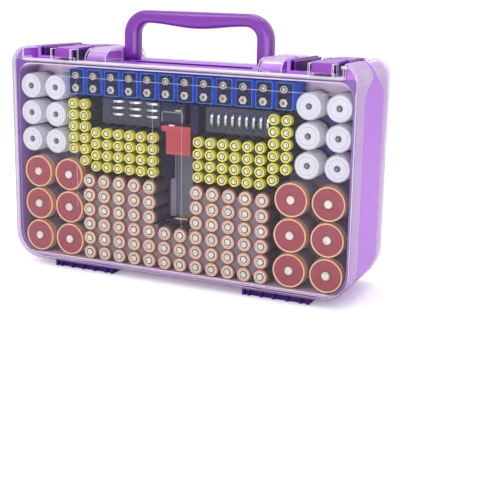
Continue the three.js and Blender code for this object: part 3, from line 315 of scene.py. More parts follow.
GREEN = plastic("green_sleeve", srgb(104, 170, 126), 0.36, bump=0)


# Meshes and objects
def add_object(name, data):
    o = bpy.data.objects.new(name, data)
    bpy.context.scene.collection.objects.link(o)
    return o


def make_object(name, verts, faces, materials, index=None, smooth=True):
    """A mesh object. index gives the material of each face."""
    mesh = bpy.data.meshes.new(name)
    mesh.from_pydata([tuple(v) for v in verts], [], [tuple(f) for f in faces])
    for material in materials:
        mesh.materials.append(material)
    if index is not None:
        mesh.polygons.foreach_set("material_index", np.array(index, np.int32))
    mesh.polygons.foreach_set("use_smooth", [smooth] * len(mesh.polygons))
    mesh.update()
    return add_object(name, mesh)


def sharp_edges(o, degrees=35):
    """Marks hard edges, so that smooth shading keeps them crisp."""
    bm = bmesh.new()
    bm.from_mesh(o.data)
    limit = math.radians(degrees)
    for edge in bm.edges:
        edge.smooth = len(edge.link_faces) == 2 and edge.calc_face_angle(0) < limit
    bm.to_mesh(o.data)
    bm.free()
    return o


class Batch:
    """Collects many small shapes into one mesh."""

    def __init__(self):
        self.verts, self.faces, self.index, self.count = [], [], [], 0

    def add(self, verts, faces, index=None):
        self.verts.append(verts)
        self.faces += [[i + self.count for i in face] for face in faces]
        self.index += index or [0] * len(faces)
        self.count += len(verts)

    def box(self, x0, x1, y0, y1, z0, z1):
        corners = [(x, y, z) for x in (x0, x1) for y in (y0, y1) for z in (z0, z1)]
        faces = [(0, 1, 3, 2), (4, 6, 7, 5), (0, 4, 5, 1), (2, 3, 7, 6), (0, 2, 6, 4), (1, 5, 7, 3)]
        self.add(np.array(corners) * MM, faces)

    def done(self, name, materials, smooth=True):
        o = make_object(name, np.concatenate(self.verts), self.faces, materials, self.index, smooth)
        return sharp_edges(o) if smooth else o


def lathe(profile, steps):
    """A profile of (radius, along, material) turned about an axis: points in (u, v, along)."""
    verts, faces, index, rings = [], [], [], []
    for radius, along, _ in profile:
        if radius <= 0:
            rings.append([len(verts)])
            verts.append((0, 0, along))
        else:
            rings.append([len(verts) + i for i in range(steps)])
            turns = [2 * math.pi * i / steps for i in range(steps)]
            verts += [(radius * math.cos(a), radius * math.sin(a), along) for a in turns]
    for ring, following, (_, _, material) in zip(rings, rings[1:], profile):
        for i in range(steps):
            j = (i + 1) % steps
            if len(ring) == 1:
                faces.append((ring[0], following[i], following[j]))
            elif len(following) == 1:
                faces.append((ring[j], ring[i], following[0]))
            else:
                faces.append((ring[i], following[i], following[j], ring[j]))
            index.append(material)
    return np.array(verts), faces, index


def along_x(verts, x, y, z):
    """A turned shape with its axis along +X, from a start at x."""
    return np.c_[verts[:, 2] + x, verts[:, 0] + y, verts[:, 1] + z] * MM


def along_y(verts, x, y, z):
    """A turned shape with its axis along +Y, from a start at y."""
    return np.c_[verts[:, 0] + x, verts[:, 2] + y, verts[:, 1] + z] * MM


def along_z(verts, x, y, z):
    """A turned shape with its axis along +Z, from a start at z."""
    return np.c_[verts[:, 0] + x, verts[:, 1] + y, verts[:, 2] + z] * MM


def stand(o, node=None, body="case"):
    """Puts a piece on its body, in place of the CAD node that it stands for."""
    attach(o, body)
    if node:
        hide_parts(node)


def boxes(name, material, places, body="case"):
    """One piece made of plain boxes: (x0, x1, y0, y1, z0, z1) in millimetres."""
    batch = Batch()
    for place in places:
        batch.box(*place)
    stand(batch.done(name, [material], smooth=False), body=body)


FLAT_ANGLE = math.radians(1)
BEVEL_ANGLE = math.radians(28)


def soften(o, material, bevel=0.5, segments=2):
    """Gives a piece its material and softened edges."""
    o.data.materials.clear()
    o.data.materials.append(material)
    for polygon in o.data.polygons:
        polygon.use_smooth = bool(bevel)
    if bevel:
        flat = o.modifiers.new("flat", "DECIMATE")
        flat.decimate_type = "DISSOLVE"
        flat.angle_limit = FLAT_ANGLE
        edge = o.modifiers.new("edge", "BEVEL")
        edge.width = bevel * MM
        edge.segments = segments
        edge.limit_method = "ANGLE"
        edge.angle_limit = BEVEL_ANGLE
        edge.use_clamp_overlap = True
        edge.harden_normals = False
        normals = o.modifiers.new("normals", "WEIGHTED_NORMAL")
        normals.keep_sharp = True


# Layout of the front, in millimetres: pitch and first place of each kind of cell
CELL_TOP = -50.0
DECK_FRONT = -17.0
POCKET_BACK = DECK_FRONT + 0.2
AA = dict(r=7.1, px=17.76, pz=15.35, cx=-2.2, z0=20.7, cols=12, rows=6, short_cols=(5, 6), short_rows=3)
AAA = dict(r=5.25, px=13.3, pz=11.73, x0=118.6, z0=176.9, low_z0=148.3, side_rows=(5, 6), cols=6, rows=4)
C = dict(r=13.1, px=30.0, pz=28.1, x0=140.2, z0=191.8, cols=2, rows=3)
D = dict(r=16.8, px=38.0, pz=35.0, x0=125.2, z0=101.2, cols=2, rows=3)
BLOCK = dict(half_x=8.75, half_z=13, corner=1.8, top_half_x=7.9, top_half_z=12.1, top_corner=1.4,
             px=20.9, z=199.5, cols=12, snap_z=6.35)
COIN_HALF = 1.6
COIN_Y = -28
FLAT_COINS = dict(xs=(-74, -53.4, -32.8), levels=[180.6 - 6.6 * r for r in range(3)])
EDGE_COINS = dict(xs=[34.8 + 7.5 * i for i in range(9)], z=170)


def aa_places():
    places = []
    for c in range(AA["cols"]):
        x = AA["cx"] + (c - (AA["cols"] - 1) / 2) * AA["px"]
        rows = AA["short_rows"] if c in AA["short_cols"] else AA["rows"]
        places += [(x, AA["z0"] + r * AA["pz"]) for r in range(rows)]
    return places


def aaa_places(s):
    places = []
    for c, rows in enumerate(AAA["side_rows"]):
        places += [(s * (AAA["x0"] - c * AAA["px"]), AAA["z0"] - r * AAA["pz"]) for r in range(rows)]
    for c in range(AAA["cols"]):
        x = s * (AAA["x0"] - (c + len(AAA["side_rows"])) * AAA["px"])
        places += [(x, AAA["low_z0"] - r * AAA["pz"]) for r in range(AAA["rows"])]
    return places


def side_places(s, g):
    return [(s * (g["x0"] + c * g["px"]), g["z0"] - r * g["pz"])
            for c in range(g["cols"]) for r in range(g["rows"])]


# Upright cells: profiles of (radius, depth under the cell's top, material)
AA_PROFILE = [(0, 0.6, 0), (1.4, 0.5, 0), (1.7, 0.1, 0), (2.8, 0.1, 0), (3.1, 0.6, 0), (3.15, 1.4, 1),
              (4.15, 1.4, 1), (4.2, 1.0, 2), (5.05, 1.0, 2), (5.1, 1.2, 3), (5.55, 1.2, 3), (5.6, 0.9, 4),
              (6.3, 0.7, 4), (6.35, 0.75, 5), (6.9, 0.95, 5), (7.1, 1.5, 6), (7.1, 49.9, 6),
              (6.5, 50.5, 6), (0, 50.5, 6)]
AAA_PROFILE = [(0, 0.5, 0), (0.9, 0.15, 0), (1.2, 0.4, 1), (1.5, 0.9, 2), (2.55, 0.9, 2),
               (2.6, 1.3, 3), (3.5, 1.3, 3), (3.55, 0.9, 4), (4.2, 0.45, 4),
               (4.95, 0.6, 4), (5.25, 1.2, 5), (5.25, 44.0, 5), (4.8, 44.5, 5), (0, 44.5, 5)]
C_PROFILE = [(0, 0.3, 0), (1.3, 0.05, 0), (1.8, 0.4, 0), (2.2, 1.6, 1), (2.9, 1.7, 2), (3.4, 1.4, 3),
             (8.6, 1.4, 2), (9.2, 1.5, 3), (11.6, 1.3, 2), (12.5, 1.6, 2), (13.1, 2.8, 3),
             (13.1, 49.2, 3), (12.4, 50, 3), (0, 50, 3)]
D_PROFILE = [(0, 0.0, 0), (3.4, 0.0, 0), (4.1, 0.5, 0), (4.3, 1.5, 1), (4.9, 1.7, 2), (9.0, 1.9, 2),
             (14.9, 1.9, 1), (15.15, 1.7, 3), (15.4, 1.1, 3), (16.1, 0.8, 3), (16.6, 1.1, 3), (16.8, 1.9, 4),
             (16.8, 60.7, 4), (16.0, 61.5, 4), (0, 61.5, 4)]


def bank(name, node, places, profile, steps, materials):
    batch = Batch()
    shape, faces, index = lathe(profile, steps)
    for x, z in places:
        batch.add(along_y(shape, x, CELL_TOP, z), faces, index)
    stand(batch.done(name, materials), node)


bank("aa_cells", "aa_cell_bank", aa_places(), AA_PROFILE, 28,
     [SILVER, TAUPE, PLATE, RUST, PINK, COPPER_EDGE, COPPER])
for side, s in LEFT_RIGHT:
    bank(f"aaa_cells_{side}", f"aaa_cell_bank_{side}", aaa_places(s), AAA_PROFILE, 24,
         [MAUVE, DARK_GAP, AAA_PLATE, OLIVE, YELLOW_EDGE, YELLOW])
for side, s in LEFT_RIGHT:
    bank(f"c_cells_{side}", f"c_cell_bank_{side}", side_places(s, C), C_PROFILE, 48,
         [GREY, DARK_GAP, MIST, WHITE])
    bank(f"d_cells_{side}", f"d_cell_bank_{side}", side_places(s, D), D_PROFILE, 56,
         [SILVER, DARK_GAP, D_FACE, D_RING, D_SLEEVE])


# Block cells: a sleeve, a dark top, a round snap above and a six-sided one below
def rounded_prism(x, z, half_x, half_z, radius, rings, index, corner_steps=5):
    """A rounded-rectangle prism along Y. rings is a list of (inset, y); index has each band's material."""
    verts, faces, face_index = [], [], []
    count = 4 * (corner_steps + 1)
    for inset, y in rings:
        corner = max(radius - inset, 0.05)
        for k, (sx, sz) in enumerate(((1, 1), (-1, 1), (-1, -1), (1, -1))):
            for i in range(corner_steps + 1):
                a = math.pi / 2 * (k + i / corner_steps)
                verts.append((x + sx * (half_x - inset - corner) + corner * math.cos(a), y,
                              z + sz * (half_z - inset - corner) + corner * math.sin(a)))
    for b in range(len(rings) - 1):
        low, high = b * count, (b + 1) * count
        for i in range(count):
            j = (i + 1) % count
            faces.append((low + i, low + j, high + j, high + i))
            face_index.append(index[b])
    faces.append(tuple(reversed(range(count))))
    faces.append(tuple(range(len(verts) - count, len(verts))))
    return np.array(verts) * MM, faces, face_index + [index[0], index[-1]]


BLOCK_RINGS = [(0.9, -46.9), (0.3, -47), (0, -46.5), (0, -1)]
TOP_RINGS = [(0.3, -47.35), (0, -47.15), (0, -46.6)]
ROUND_SNAP = [(0, 0.7, 2), (1.0, 0.6, 5), (2.1, 1.0, 3), (2.7, 1.0, 2), (2.9, 0.1, 2), (3.4, 0.3, 2),
              (3.5, 2.8, 2)]
SIX_SNAP = [(0, 0.7, 3), (0.6, 0.8, 5), (2.3, 1.0, 2), (2.7, 0.2, 2), (3.6, 0.3, 2), (4.2, 0.9, 2),
            (4.2, 2.9, 2)]
snaps = [(lathe(ROUND_SNAP, 24), BLOCK["snap_z"]), (lathe(SIX_SNAP, 6), -BLOCK["snap_z"])]
blocks = Batch()
for i in range(BLOCK["cols"]):
    x, z = (i - (BLOCK["cols"] - 1) / 2) * BLOCK["px"], BLOCK["z"]
    blocks.add(*rounded_prism(x, z, BLOCK["half_x"], BLOCK["half_z"], BLOCK["corner"],
                              BLOCK_RINGS, [4, 4, 1]))
    blocks.add(*rounded_prism(x, z, BLOCK["top_half_x"], BLOCK["top_half_z"], BLOCK["top_corner"],
                              TOP_RINGS, [0, 0]))
    for (shape, faces, index), rise in snaps:
        blocks.add(along_y(shape, x, CELL_TOP, z + rise), faces, index)
stand(blocks.done("block_cells", [BLOCK_TOP, BLUE, SILVER, DARK_GAP, BLUE_EDGE, SNAP_CORE]),
      "block_cell_bank")

# Coin cells: three flat stacks on the left, a row on edge on the right
COIN_PROFILE = [(0, 0.0, 0), (8.2, 0.0, 0), (8.6, 0.35, 0), (9.7, 0.4, 0), (10, 0.8, 0), (10, 2.9, 0),
                (9.6, 3.2, 0), (0, 3.2, 0)]
coin, coin_faces, coin_index = lathe(COIN_PROFILE, 40)
flat_coins, edge_coins = Batch(), Batch()
for x in FLAT_COINS["xs"]:
    for level in FLAT_COINS["levels"]:
        flat_coins.add(along_z(coin, x, COIN_Y, level - COIN_HALF), coin_faces, coin_index)
for x in EDGE_COINS["xs"]:
    edge_coins.add(along_x(coin, x - COIN_HALF, COIN_Y, EDGE_COINS["z"]), coin_faces, coin_index)
stand(flat_coins.done("coins_left", [COIN]), "coin_cells_left")
stand(edge_coins.done("coins_right", [COIN]), "coin_cells_right")

# Lying cells of the back: each kind has its places, then its radius and length
BACK_Y = 40.0
SHOULDER = 0.6
PHOTO_BANDS = [(0.18, 1), (0.34, 2), (1, 1)]
LONG_BANDS = [(0.12, 1), (0.7, 2), (0.74, 1), (0.78, 2), (0.82, 1), (0.86, 2), (1, 1)]
AAA_NUB = (1.9, 0.8)


def column(x, high, pitch, rows):
    return [(x, high - r * pitch) for r in range(rows)]


def lying(name, node, places, radius, length, bands, materials, nub=(2.4, 1.0)):
    """Cells along X. bands has the share of the sleeve where a colour ends, and its material."""
    half, low = length / 2, nub[1] - length / 2
    profile = [(0, -half, 0), (nub[0], -half, 0), (nub[0], low, 0), (radius - SHOULDER, low, 0)]
    start = low + SHOULDER
    for share, material in bands:
        stop = half - SHOULDER if share == 1 else low - 2 * low * share
        profile += [(radius, start, material), (radius, stop, material)]
        start = stop
    profile += [(radius - SHOULDER, half, 0), (0, half, 0)]
    shape, faces, index = lathe(profile, 24)
    batch = Batch()
    for x, z in places:
        batch.add(along_x(shape, x, BACK_Y, z), faces, index)
    stand(batch.done(name, materials), node)


for side, s in LEFT_RIGHT:
    lying(f"long_cells_{side}", f"long_cell_bank_{side}", column(s * 137, 190, 22, 3),
          9.3, 66, LONG_BANDS, [SILVER, AMBER, LABEL], nub=(0.5, 0.1))
    lying(f"short_cells_{side}", f"short_cell_bank_{side}", column(s * 80.2, 181, 18.6, 3),
          7.8, 27, PHOTO_BANDS, [SILVER, PALE, SPOT])
    lying(f"photo_cells_{side}", f"photo_cell_bank_{side}", column(s * 39.8, 177.3, 20.3, 6),
          8.5, 34.5, PHOTO_BANDS, [SILVER, PALE, SPOT])
    lying(f"back_aa_cells_{side}", f"back_aa_bank_{side}", column(s * 145.7, 126.7, 17, 6),
          7.25, 50.5, [(0.33, 1), (1, 2)], [SILVER, COPPER_EDGE, CHAR])
    lying(f"back_aaa_cells_{side}", f"back_aaa_bank_{side}", column(s * 89.3, 126, 10.4, 7),
          5.1, 44.5, [(0.3, 2), (1, 1)], [SILVER, ASH, CHAR])
    lying(f"middle_cells_{side}", f"middle_cell_rows_{side}",
          column(s * 89.3, 51.4, 11.6, 2) + column(s * 39.8, 51.4, 11.6, 2),
          5.1, 44.5, [(1, 1)], [SILVER, GREEN], nub=AAA_NUB)
lying("centre_cells", "centre_cell_column", column(0, 179.5, 15.1, 10),
      6.6, 24, [(0.3, 2), (1, 1)], [SILVER, CREAM, YELLOW])
lying("remote_cells", "remote_cell_row", [((i - 2) * 31.6, 198.6) for i in range(5)],
      5.1, 28, [(0.75, 1), (1, 2)], [SILVER, SLATE, CHAR])
lying("lower_cells", "lower_cell_row", [((i - 2.5) * 48.4, 27.4) for i in range(6)],
      5.1, 44.5, [(1, 1)], [SILVER, GREEN], nub=AAA_NUB)

# Pockets of the front tray
AA_FIELD_Y = -46.3
AAA_FIELD_Y = -43.5
C_COLLAR_Y = -26.0
D_HOLDER_Y = -42.0
CELL_ROOM = 0.12
AA_WALL, AAA_WALL = 1.0, 0.65
COLLAR_ROOM, COLLAR_WALL = 0.15, 0.45


def hole_quarter(batch, x, z, half_x, half_z, radius, front, steps=6):
    """A quarter of a field with a round hole. The signs of half_x and half_z choose the quarter."""
    corner = math.atan2(abs(half_z), abs(half_x))
    turns = sorted({math.pi / 2 * i / steps for i in range(steps + 1)} | {corner})
    sx, sz = math.copysign(1, half_x), math.copysign(1, half_z)
    verts, faces = [], []
    for y in (front, POCKET_BACK):
        for a in turns:
            rim = min(abs(half_x) / max(math.cos(a), 1e-9), abs(half_z) / max(math.sin(a), 1e-9))
            for reach in (radius, rim):
                verts.append((x + sx * math.cos(a) * reach, y, z + sz * math.sin(a) * reach))
    n = 2 * len(turns)
    for a in range(0, n - 2, 2):
        b = a + 2
        faces.append((a, a + 1, b + 1, b))
        faces.append((a, b, n + b, n + a))
        faces.append((a + 1, n + a + 1, n + b + 1, b + 1))
    batch.add(np.array(verts) * MM, faces)


def pocket_field(fields, tubes, places, g, front, wall, steps):
    """Round tubes with a softened rim, with the room between four of them filled."""
    taken = {(round(x), round(z)) for x, z in places}
    hole = g["r"] + CELL_ROOM
    depth = POCKET_BACK - front
    shape, faces, index = lathe([(hole, 0.8, 0), (hole, 0.1, 0), (hole + 0.15, -0.15, 0),
                                 (hole + wall - 0.25, -0.1, 0), (hole + wall, 0.2, 0),
                                 (hole + wall, depth, 0)], steps)

    def near(x, z):
        return any((round(x) + a, round(z) + b) in taken for a in (-1, 0, 1) for b in (-1, 0, 1))

    for x, z in places:
        for px in (-g["px"], g["px"]):
            for pz in (-g["pz"], g["pz"]):
                if near(x + px, z) and near(x, z + pz):
                    hole_quarter(fields, x, z, px / 2, pz / 2, hole, front)
        tubes.add(along_y(shape, x, front, z), faces, index)


def collars(batch, places, cell_radius, front, steps):
    """Thin round walls about large cells."""
    inner, depth = cell_radius + COLLAR_ROOM, POCKET_BACK - front
    outer = inner + COLLAR_WALL
    shape, faces, index = lathe([(inner, depth, 0), (inner, 0, 0), (outer, 0, 0), (outer, depth, 0)], steps)
    for x, z in places:
        batch.add(along_y(shape, x, front, z), faces, index)


aa_fields, aa_tubes, aaa_fields, aaa_tubes, c_collars, d_holders = (Batch() for _ in range(6))
pocket_field(aa_fields, aa_tubes, aa_places(), AA, AA_FIELD_Y, AA_WALL, 32)
for _, s in LEFT_RIGHT:
    pocket_field(aaa_fields, aaa_tubes, aaa_places(s), AAA, AAA_FIELD_Y, AAA_WALL, 28)
    collars(c_collars, side_places(s, C), C["r"], C_COLLAR_Y, 48)
    collars(d_holders, side_places(s, D), D["r"], D_HOLDER_Y, 56)
stand(aa_fields.done("aa_pocket_field", [DECK], smooth=False))
stand(aa_tubes.done("aa_pocket_tubes", [COLLAR]))
stand(aaa_fields.done("aaa_pocket_field", [TUBE], smooth=False))
stand(aaa_tubes.done("aaa_pocket_tubes", [TUBE]))
stand(c_collars.done("pocket_collars", [COLLAR]))
stand(d_holders.done("d_pocket_tubes", [HOLDER]))

# Racks that hold the coin cells in slots, and ribs between the block cells
RACK_FRONT = -34.6
RACK_LOW, RACK_HIGH = 157.6, 182.6
FLAT_X0, FLAT_X1 = -92, -24
EDGE_X0, EDGE_X1 = 27, 101
EDGE_ROOM = (162, 178)
FLAT_TOP = 183.2
SLOT_HALF = 2.1
STACK_HALF = 8


def walls(start, slots, half, stop):
    """The stretches that slots leave between start and stop."""
    marks = [start] + [at + side for at in slots for side in (-half, half)] + [stop]
    return zip(marks[::2], marks[1::2])


rack_boxes = []
for low, high in walls(RACK_LOW, reversed(FLAT_COINS["levels"]), SLOT_HALF, FLAT_TOP):
    rack_boxes.append((FLAT_X0, FLAT_X1, RACK_FRONT, POCKET_BACK, low, high))
for z in FLAT_COINS["levels"]:
    for x0, x1 in walls(FLAT_X0, FLAT_COINS["xs"], STACK_HALF, FLAT_X1):
        rack_boxes.append((x0, x1, RACK_FRONT, POCKET_BACK, z - SLOT_HALF, z + SLOT_HALF))
for low, high in ((RACK_LOW, EDGE_ROOM[0]), (EDGE_ROOM[1], RACK_HIGH)):
    rack_boxes.append((EDGE_X0, EDGE_X1, RACK_FRONT, POCKET_BACK, low, high))
for x0, x1 in walls(EDGE_X0, EDGE_COINS["xs"], SLOT_HALF, EDGE_X1):
    rack_boxes.append((x0, x1, RACK_FRONT, POCKET_BACK, *EDGE_ROOM))
boxes("coin_rack", RACK, rack_boxes)

RIB_HALF = 0.6
RIB_FRONT = -18.6
RIB_Z = (187, 214.4)
rib_xs = [(i - BLOCK["cols"] / 2) * BLOCK["px"] for i in range(1, BLOCK["cols"])]
boxes("block_ribs", PALE_RIB,
      [(x - RIB_HALF, x + RIB_HALF, RIB_FRONT, POCKET_BACK, *RIB_Z) for x in rib_xs])

# Body: the CAD solid, with the finger wells open to the front and back
WELLS = ((-164.2, -142.8), (116.8, 138.2))
WELL_WALL = (36, 41)
WELL_Z = (223.2, 236)
cutter = Batch()
for x0, x1 in WELLS:
    for _, s in FRONT_BACK:
        cutter.box(x0, x1, *sorted(s * y for y in WELL_WALL), *WELL_Z)
cutter = cutter.done("well_cutter", [], smooth=False)
body = add_object("body_shell", nodes["body_frame"].data.copy())
body.matrix_world = nodes["body_frame"].matrix_world
opening = body.modifiers.new("wells", "BOOLEAN")
opening.operation = "DIFFERENCE"
opening.object = cutter
bpy.context.view_layer.update()
carved = bpy.data.meshes.new_from_object(body.evaluated_get(bpy.context.evaluated_depsgraph_get()))
body.modifiers.clear()
body.data = carved
bpy.data.objects.remove(cutter)
soften(body, PURPLE)
stand(body, "body_frame")
# painted shadow: the dark strip along the top seam between lid and body
boxes("top_groove_shade", GROOVE_SHADE, [(-65, 66, -12.2, -10.8, 219.6, 221.4)])


# Handle: a grip with a rounded section, between an outer and an inner curve
HANDLE_HALF = 83.9
HANDLE_LEG = 17.0
HANDLE_THICK = 15.0
PIVOT_Z = 228.3
GRIP_HIGH = 13.2
GRIP_BELLY = 4.0
OUTER_BEND, INNER_BEND = 26.0, 12.0
LEG_LEVELS = (5, 11)
END_STEPS, BEND_STEPS, GRIP_STEPS = 6, 10, 12
END_SHARE = 0.06
SECTION_POWER = 0.62
SECTION_STEPS = 28


def handle_stations():
    """Outer and inner point, in X and Z, and share of the thickness, from one end to the other."""
    outer_x, inner_x = -HANDLE_HALF, -HANDLE_HALF + HANDLE_LEG
    stations = []
    for k in range(END_STEPS + 1):
        a = math.pi / 2 * (1 - k / END_STEPS)
        z = PIVOT_Z - HANDLE_THICK / 2 * math.sin(a)
        stations.append(((outer_x, z), (inner_x, z), max(math.cos(a), END_SHARE)))
    for rise in LEG_LEVELS:
        stations.append(((outer_x, PIVOT_Z + rise), (inner_x, PIVOT_Z + rise), 1))
    for k in range(BEND_STEPS + 1):
        a = math.pi - math.pi / 2 * k / BEND_STEPS
        c, d = math.cos(a), math.sin(a)
        outer = (outer_x + OUTER_BEND + OUTER_BEND * c, CASE_TOP - OUTER_BEND + OUTER_BEND * d)
        inner = (inner_x + INNER_BEND + INNER_BEND * c, CASE_TOP - GRIP_HIGH - INNER_BEND + INNER_BEND * d)
        stations.append((outer, inner, 1))
    for k in range(1, GRIP_STEPS + 1):
        share = 1 - k / GRIP_STEPS
        belly = GRIP_BELLY * (1 - math.cos(math.pi * k / GRIP_STEPS)) / 2
        stations.append((((outer_x + OUTER_BEND) * share, CASE_TOP),
                         ((inner_x + INNER_BEND) * share, CASE_TOP - GRIP_HIGH - belly), 1))
    return stations + [((-a[0], a[1]), (-b[0], b[1]), wide) for a, b, wide in reversed(stations[:-1])]


def squared(value):
    """Bends a circle's coordinate towards a rounded square."""
    return math.copysign(abs(value) ** SECTION_POWER, value)


def handle_mesh():
    stations, count = handle_stations(), SECTION_STEPS
    verts, faces = [], []
    for a, b, wide in stations:
        for i in range(count):
            turn = 2 * math.pi * i / count
            share = 0.5 + squared(math.cos(turn)) / 2
            y = squared(math.sin(turn)) * wide * HANDLE_THICK / 2
            verts.append((a[0] * share + b[0] * (1 - share), y, a[1] * share + b[1] * (1 - share)))
    for k in range(len(stations) - 1):
        low, high = k * count, (k + 1) * count
        for i in range(count):
            j = (i + 1) % count
            faces.append((low + i, high + i, high + j, low + j))
    faces.append(tuple(range(count)))
    faces.append(tuple(reversed(range(len(verts) - count, len(verts)))))
    return make_object("carry_grip", np.array(verts) * MM, faces, [HANDLE])


stand(sharp_edges(handle_mesh(), 50), "handle", "carry_handle")

# CAD pieces shown as they are
soften(nodes["front_tray"], DECK, 0)
soften(nodes["back_tray"], BACK_TRAY, 0)
for side, _ in LEFT_RIGHT:
    soften(nodes[f"handle_pin_{side}"], HANDLE, 0)
    for face, _ in FRONT_BACK:
        soften(nodes[f"latch_{face}_{side}"], LATCH, 1.3, segments=4)
        soften(nodes[f"latch_pin_{face}_{side}"], STEEL, 0)
        soften(nodes[f"hinge_leaf_{face}_{side}"], HINGE, 0.3)
        soften(nodes[f"hinge_pin_{face}_{side}"], STEEL, 0)
soften(nodes["tester_housing"], NAVY, 0.8, segments=3)
soften(nodes["tester_meter"], BLACK, 0.2)
soften(nodes["tester_slider"], RED, 0.3)
soften(nodes["tester_contact"], BRASS, 0.2)

# Small parts of the tester
boxes("tester_clip", SILVER, [(-3.4, 2.8, -41.6, -40.9, 176.2, 177.4)])
boxes("meter_frame", FRAME_GREY,
      [(x0, x1, -41.75, -41.2, z0, 175.5)
       for x0, x1, z0 in ((-18.6, 5.4, 174.2), (-18.6, -17.4, 165), (4.2, 5.4, 165))])
boxes("slot_floor", SLOT, [(-13.2, 13.0, -20.65, -20.3, 64.5, 131)])
boxes("slot_edge", SLOT_EDGE,
      [(-19.3, -13.2, -20.64, -20.3, 62, 131), (-26, 20, -18.4, -17, 52.5, 61.3)])
boxes("slider_mark", PALE_RIB, [(-10.8, -4.8, -40.75, -40.4, 160.8, 162.2)],
      body="test_slider")

# Clear lids, with white lines of painted highlight along their edges and on their face
LID_FILLET = 2.2
LEDGE_Z = 220
LOBE_Z = 214
SKIRT_END_X = 184
THIN_LINE, SKIRT_LINE = 0.3, 0.5
HARD_ANGLE = math.radians(50)
LID_BEVEL_ANGLE = math.radians(32)
WELD_DISTANCE = 1e-6
RAY_START, RAY_REACH = 1e-5, 0.6
FACING_UP = 0.9
LEVEL_BEAD, UPRIGHT_BEAD = 0.2, 0.15
BEAD_DEPTH = 54.6
# painted highlight lines on the lid's face, from (x0, z0) to (x1, z1), then along its side and top edges:
# (from, to, radius)
FACE_HIGHLIGHT_BEADS = ((-128, 204.6, 165, 204.6), (-128, 160, -128, 219), (-110.7, 70, -110.7, 200),
              (-21.8, 62, -21.8, 182), (11, 62, 11, 182))
RIM_HIGHLIGHT_BEADS = (((-187, 53, 30), (-187, 53, 208), 0.6), ((187, 53, 30), (187, 53, 208), 0.6),
             ((-176, 54.2, 219.6), (176, 54.2, 219.6), 0.75))


def outer_faces_only(bm):
    """Deletes each face that looks at another part of the same shell."""
    tree = BVHTree.FromBMesh(bm)
    hidden = []
    for face in bm.faces:
        start = face.calc_center_median() + face.normal * RAY_START
        if tree.ray_cast(start, face.normal, RAY_REACH)[0] is not None:
            hidden.append(face)
    bmesh.ops.delete(bm, geom=hidden, context="FACES")


def edge_lines(bm):
    """Painted highlight lines along the open edges of a lid, and along the hard edges of its top: (from, to,
    radius).
    """
    lines = []
    for edge in bm.edges:
        a, b = (v.co / MM for v in edge.verts)
        if edge.is_boundary:
            at_end = min(abs(a.x), abs(b.x)) > SKIRT_END_X
            lines.append((a, b, SKIRT_LINE if at_end else THIN_LINE))
        elif min(a.z, b.z) > LOBE_Z and edge.calc_face_angle(0) > HARD_ANGLE:
            lines.append((a, b, THIN_LINE))
    return lines


def outer_sheet(node, name):
    """The outer skin of a lid's solid as one open sheet with rounded edges, and its painted highlight lines.
    """
    source = nodes[node]
    bm = bmesh.new()
    bm.from_mesh(source.data)
    bmesh.ops.remove_doubles(bm, verts=bm.verts, dist=WELD_DISTANCE)
    bm.normal_update()
    outer_faces_only(bm)
    bmesh.ops.dissolve_limit(bm, angle_limit=FLAT_ANGLE, verts=bm.verts, edges=bm.edges)
    mesh = bpy.data.meshes.new(name)
    bm.to_mesh(mesh)
    lines = edge_lines(bm)
    bm.free()
    mesh.materials.append(CLEAR)
    mesh.materials.append(RIM_HIGHLIGHT)
    for polygon in mesh.polygons:
        polygon.use_smooth = True
        # painted highlight: the lid's level top ledge takes the white highlight material
        if polygon.normal.z > FACING_UP and abs(polygon.center.z - LEDGE_Z * MM) < MM:
            polygon.material_index = 1
    o = add_object(name, mesh)
    o.matrix_world = source.matrix_world
    edge = o.modifiers.new("edge", "BEVEL")
    edge.width = LID_FILLET * MM
    edge.segments = 4
    edge.limit_method = "ANGLE"
    edge.angle_limit = LID_BEVEL_ANGLE
    edge.use_clamp_overlap = True
    normals = o.modifiers.new("normals", "WEIGHTED_NORMAL")
    normals.weight = 100
    return o, lines


def bead(batch, a, b, radius, sides=6):
    """A thin straight bead between two points, in millimetres."""
    a, b = Vector(a), Vector(b)
    axis = (b - a).normalized()
    u = axis.orthogonal().normalized()
    w = axis.cross(u)
    turns = [2 * math.pi * i / sides for i in range(sides)]
    verts = [tuple(end + radius * (math.cos(t) * u + math.sin(t) * w)) for end in (a, b) for t in turns]
    faces = [(i, (i + 1) % sides, sides + (i + 1) % sides, sides + i) for i in range(sides)]
    faces += [tuple(reversed(range(sides))), tuple(range(sides, 2 * sides))]
    batch.add(np.array(verts) * MM, faces)


def kept_inside(point, radius):
    """Moves a line's point inwards where its bead would pass the side or the face of the case."""
    reach_x, reach_y = HALF_WIDTH - radius, HALF_DEPTH - radius
    return (max(-reach_x, min(reach_x, point.x)), max(-reach_y, min(reach_y, point.y)), point.z)


for face, s in FRONT_BACK:
    lid, lines = outer_sheet(f"{face}_lid", f"clear_{face}_lid")
    stand(lid, f"{face}_lid", f"{face}_cover")
    highlight_beads, rim_highlights = Batch(), Batch()
    for x0, z0, x1, z1 in FACE_HIGHLIGHT_BEADS:
        radius = LEVEL_BEAD if z0 == z1 else UPRIGHT_BEAD
        bead(highlight_beads, (-s * x0, s * BEAD_DEPTH, z0), (-s * x1, s * BEAD_DEPTH, z1), radius)
    stand(highlight_beads.done(f"{face}_lid_highlight_beads", [RIM_HIGHLIGHT]), body=f"{face}_cover")
    for a, b, radius in lines:
        bead(rim_highlights, kept_inside(a, radius), kept_inside(b, radius), radius)
    for (x0, y0, z0), (x1, y1, z1), radius in RIM_HIGHLIGHT_BEADS:
        bead(rim_highlights, (x0, s * y0, z0), (x1, s * y1, z1), radius)
    stand(rim_highlights.done(f"{face}_lid_rim_highlights", [RIM_HIGHLIGHT]), body=f"{face}_cover")

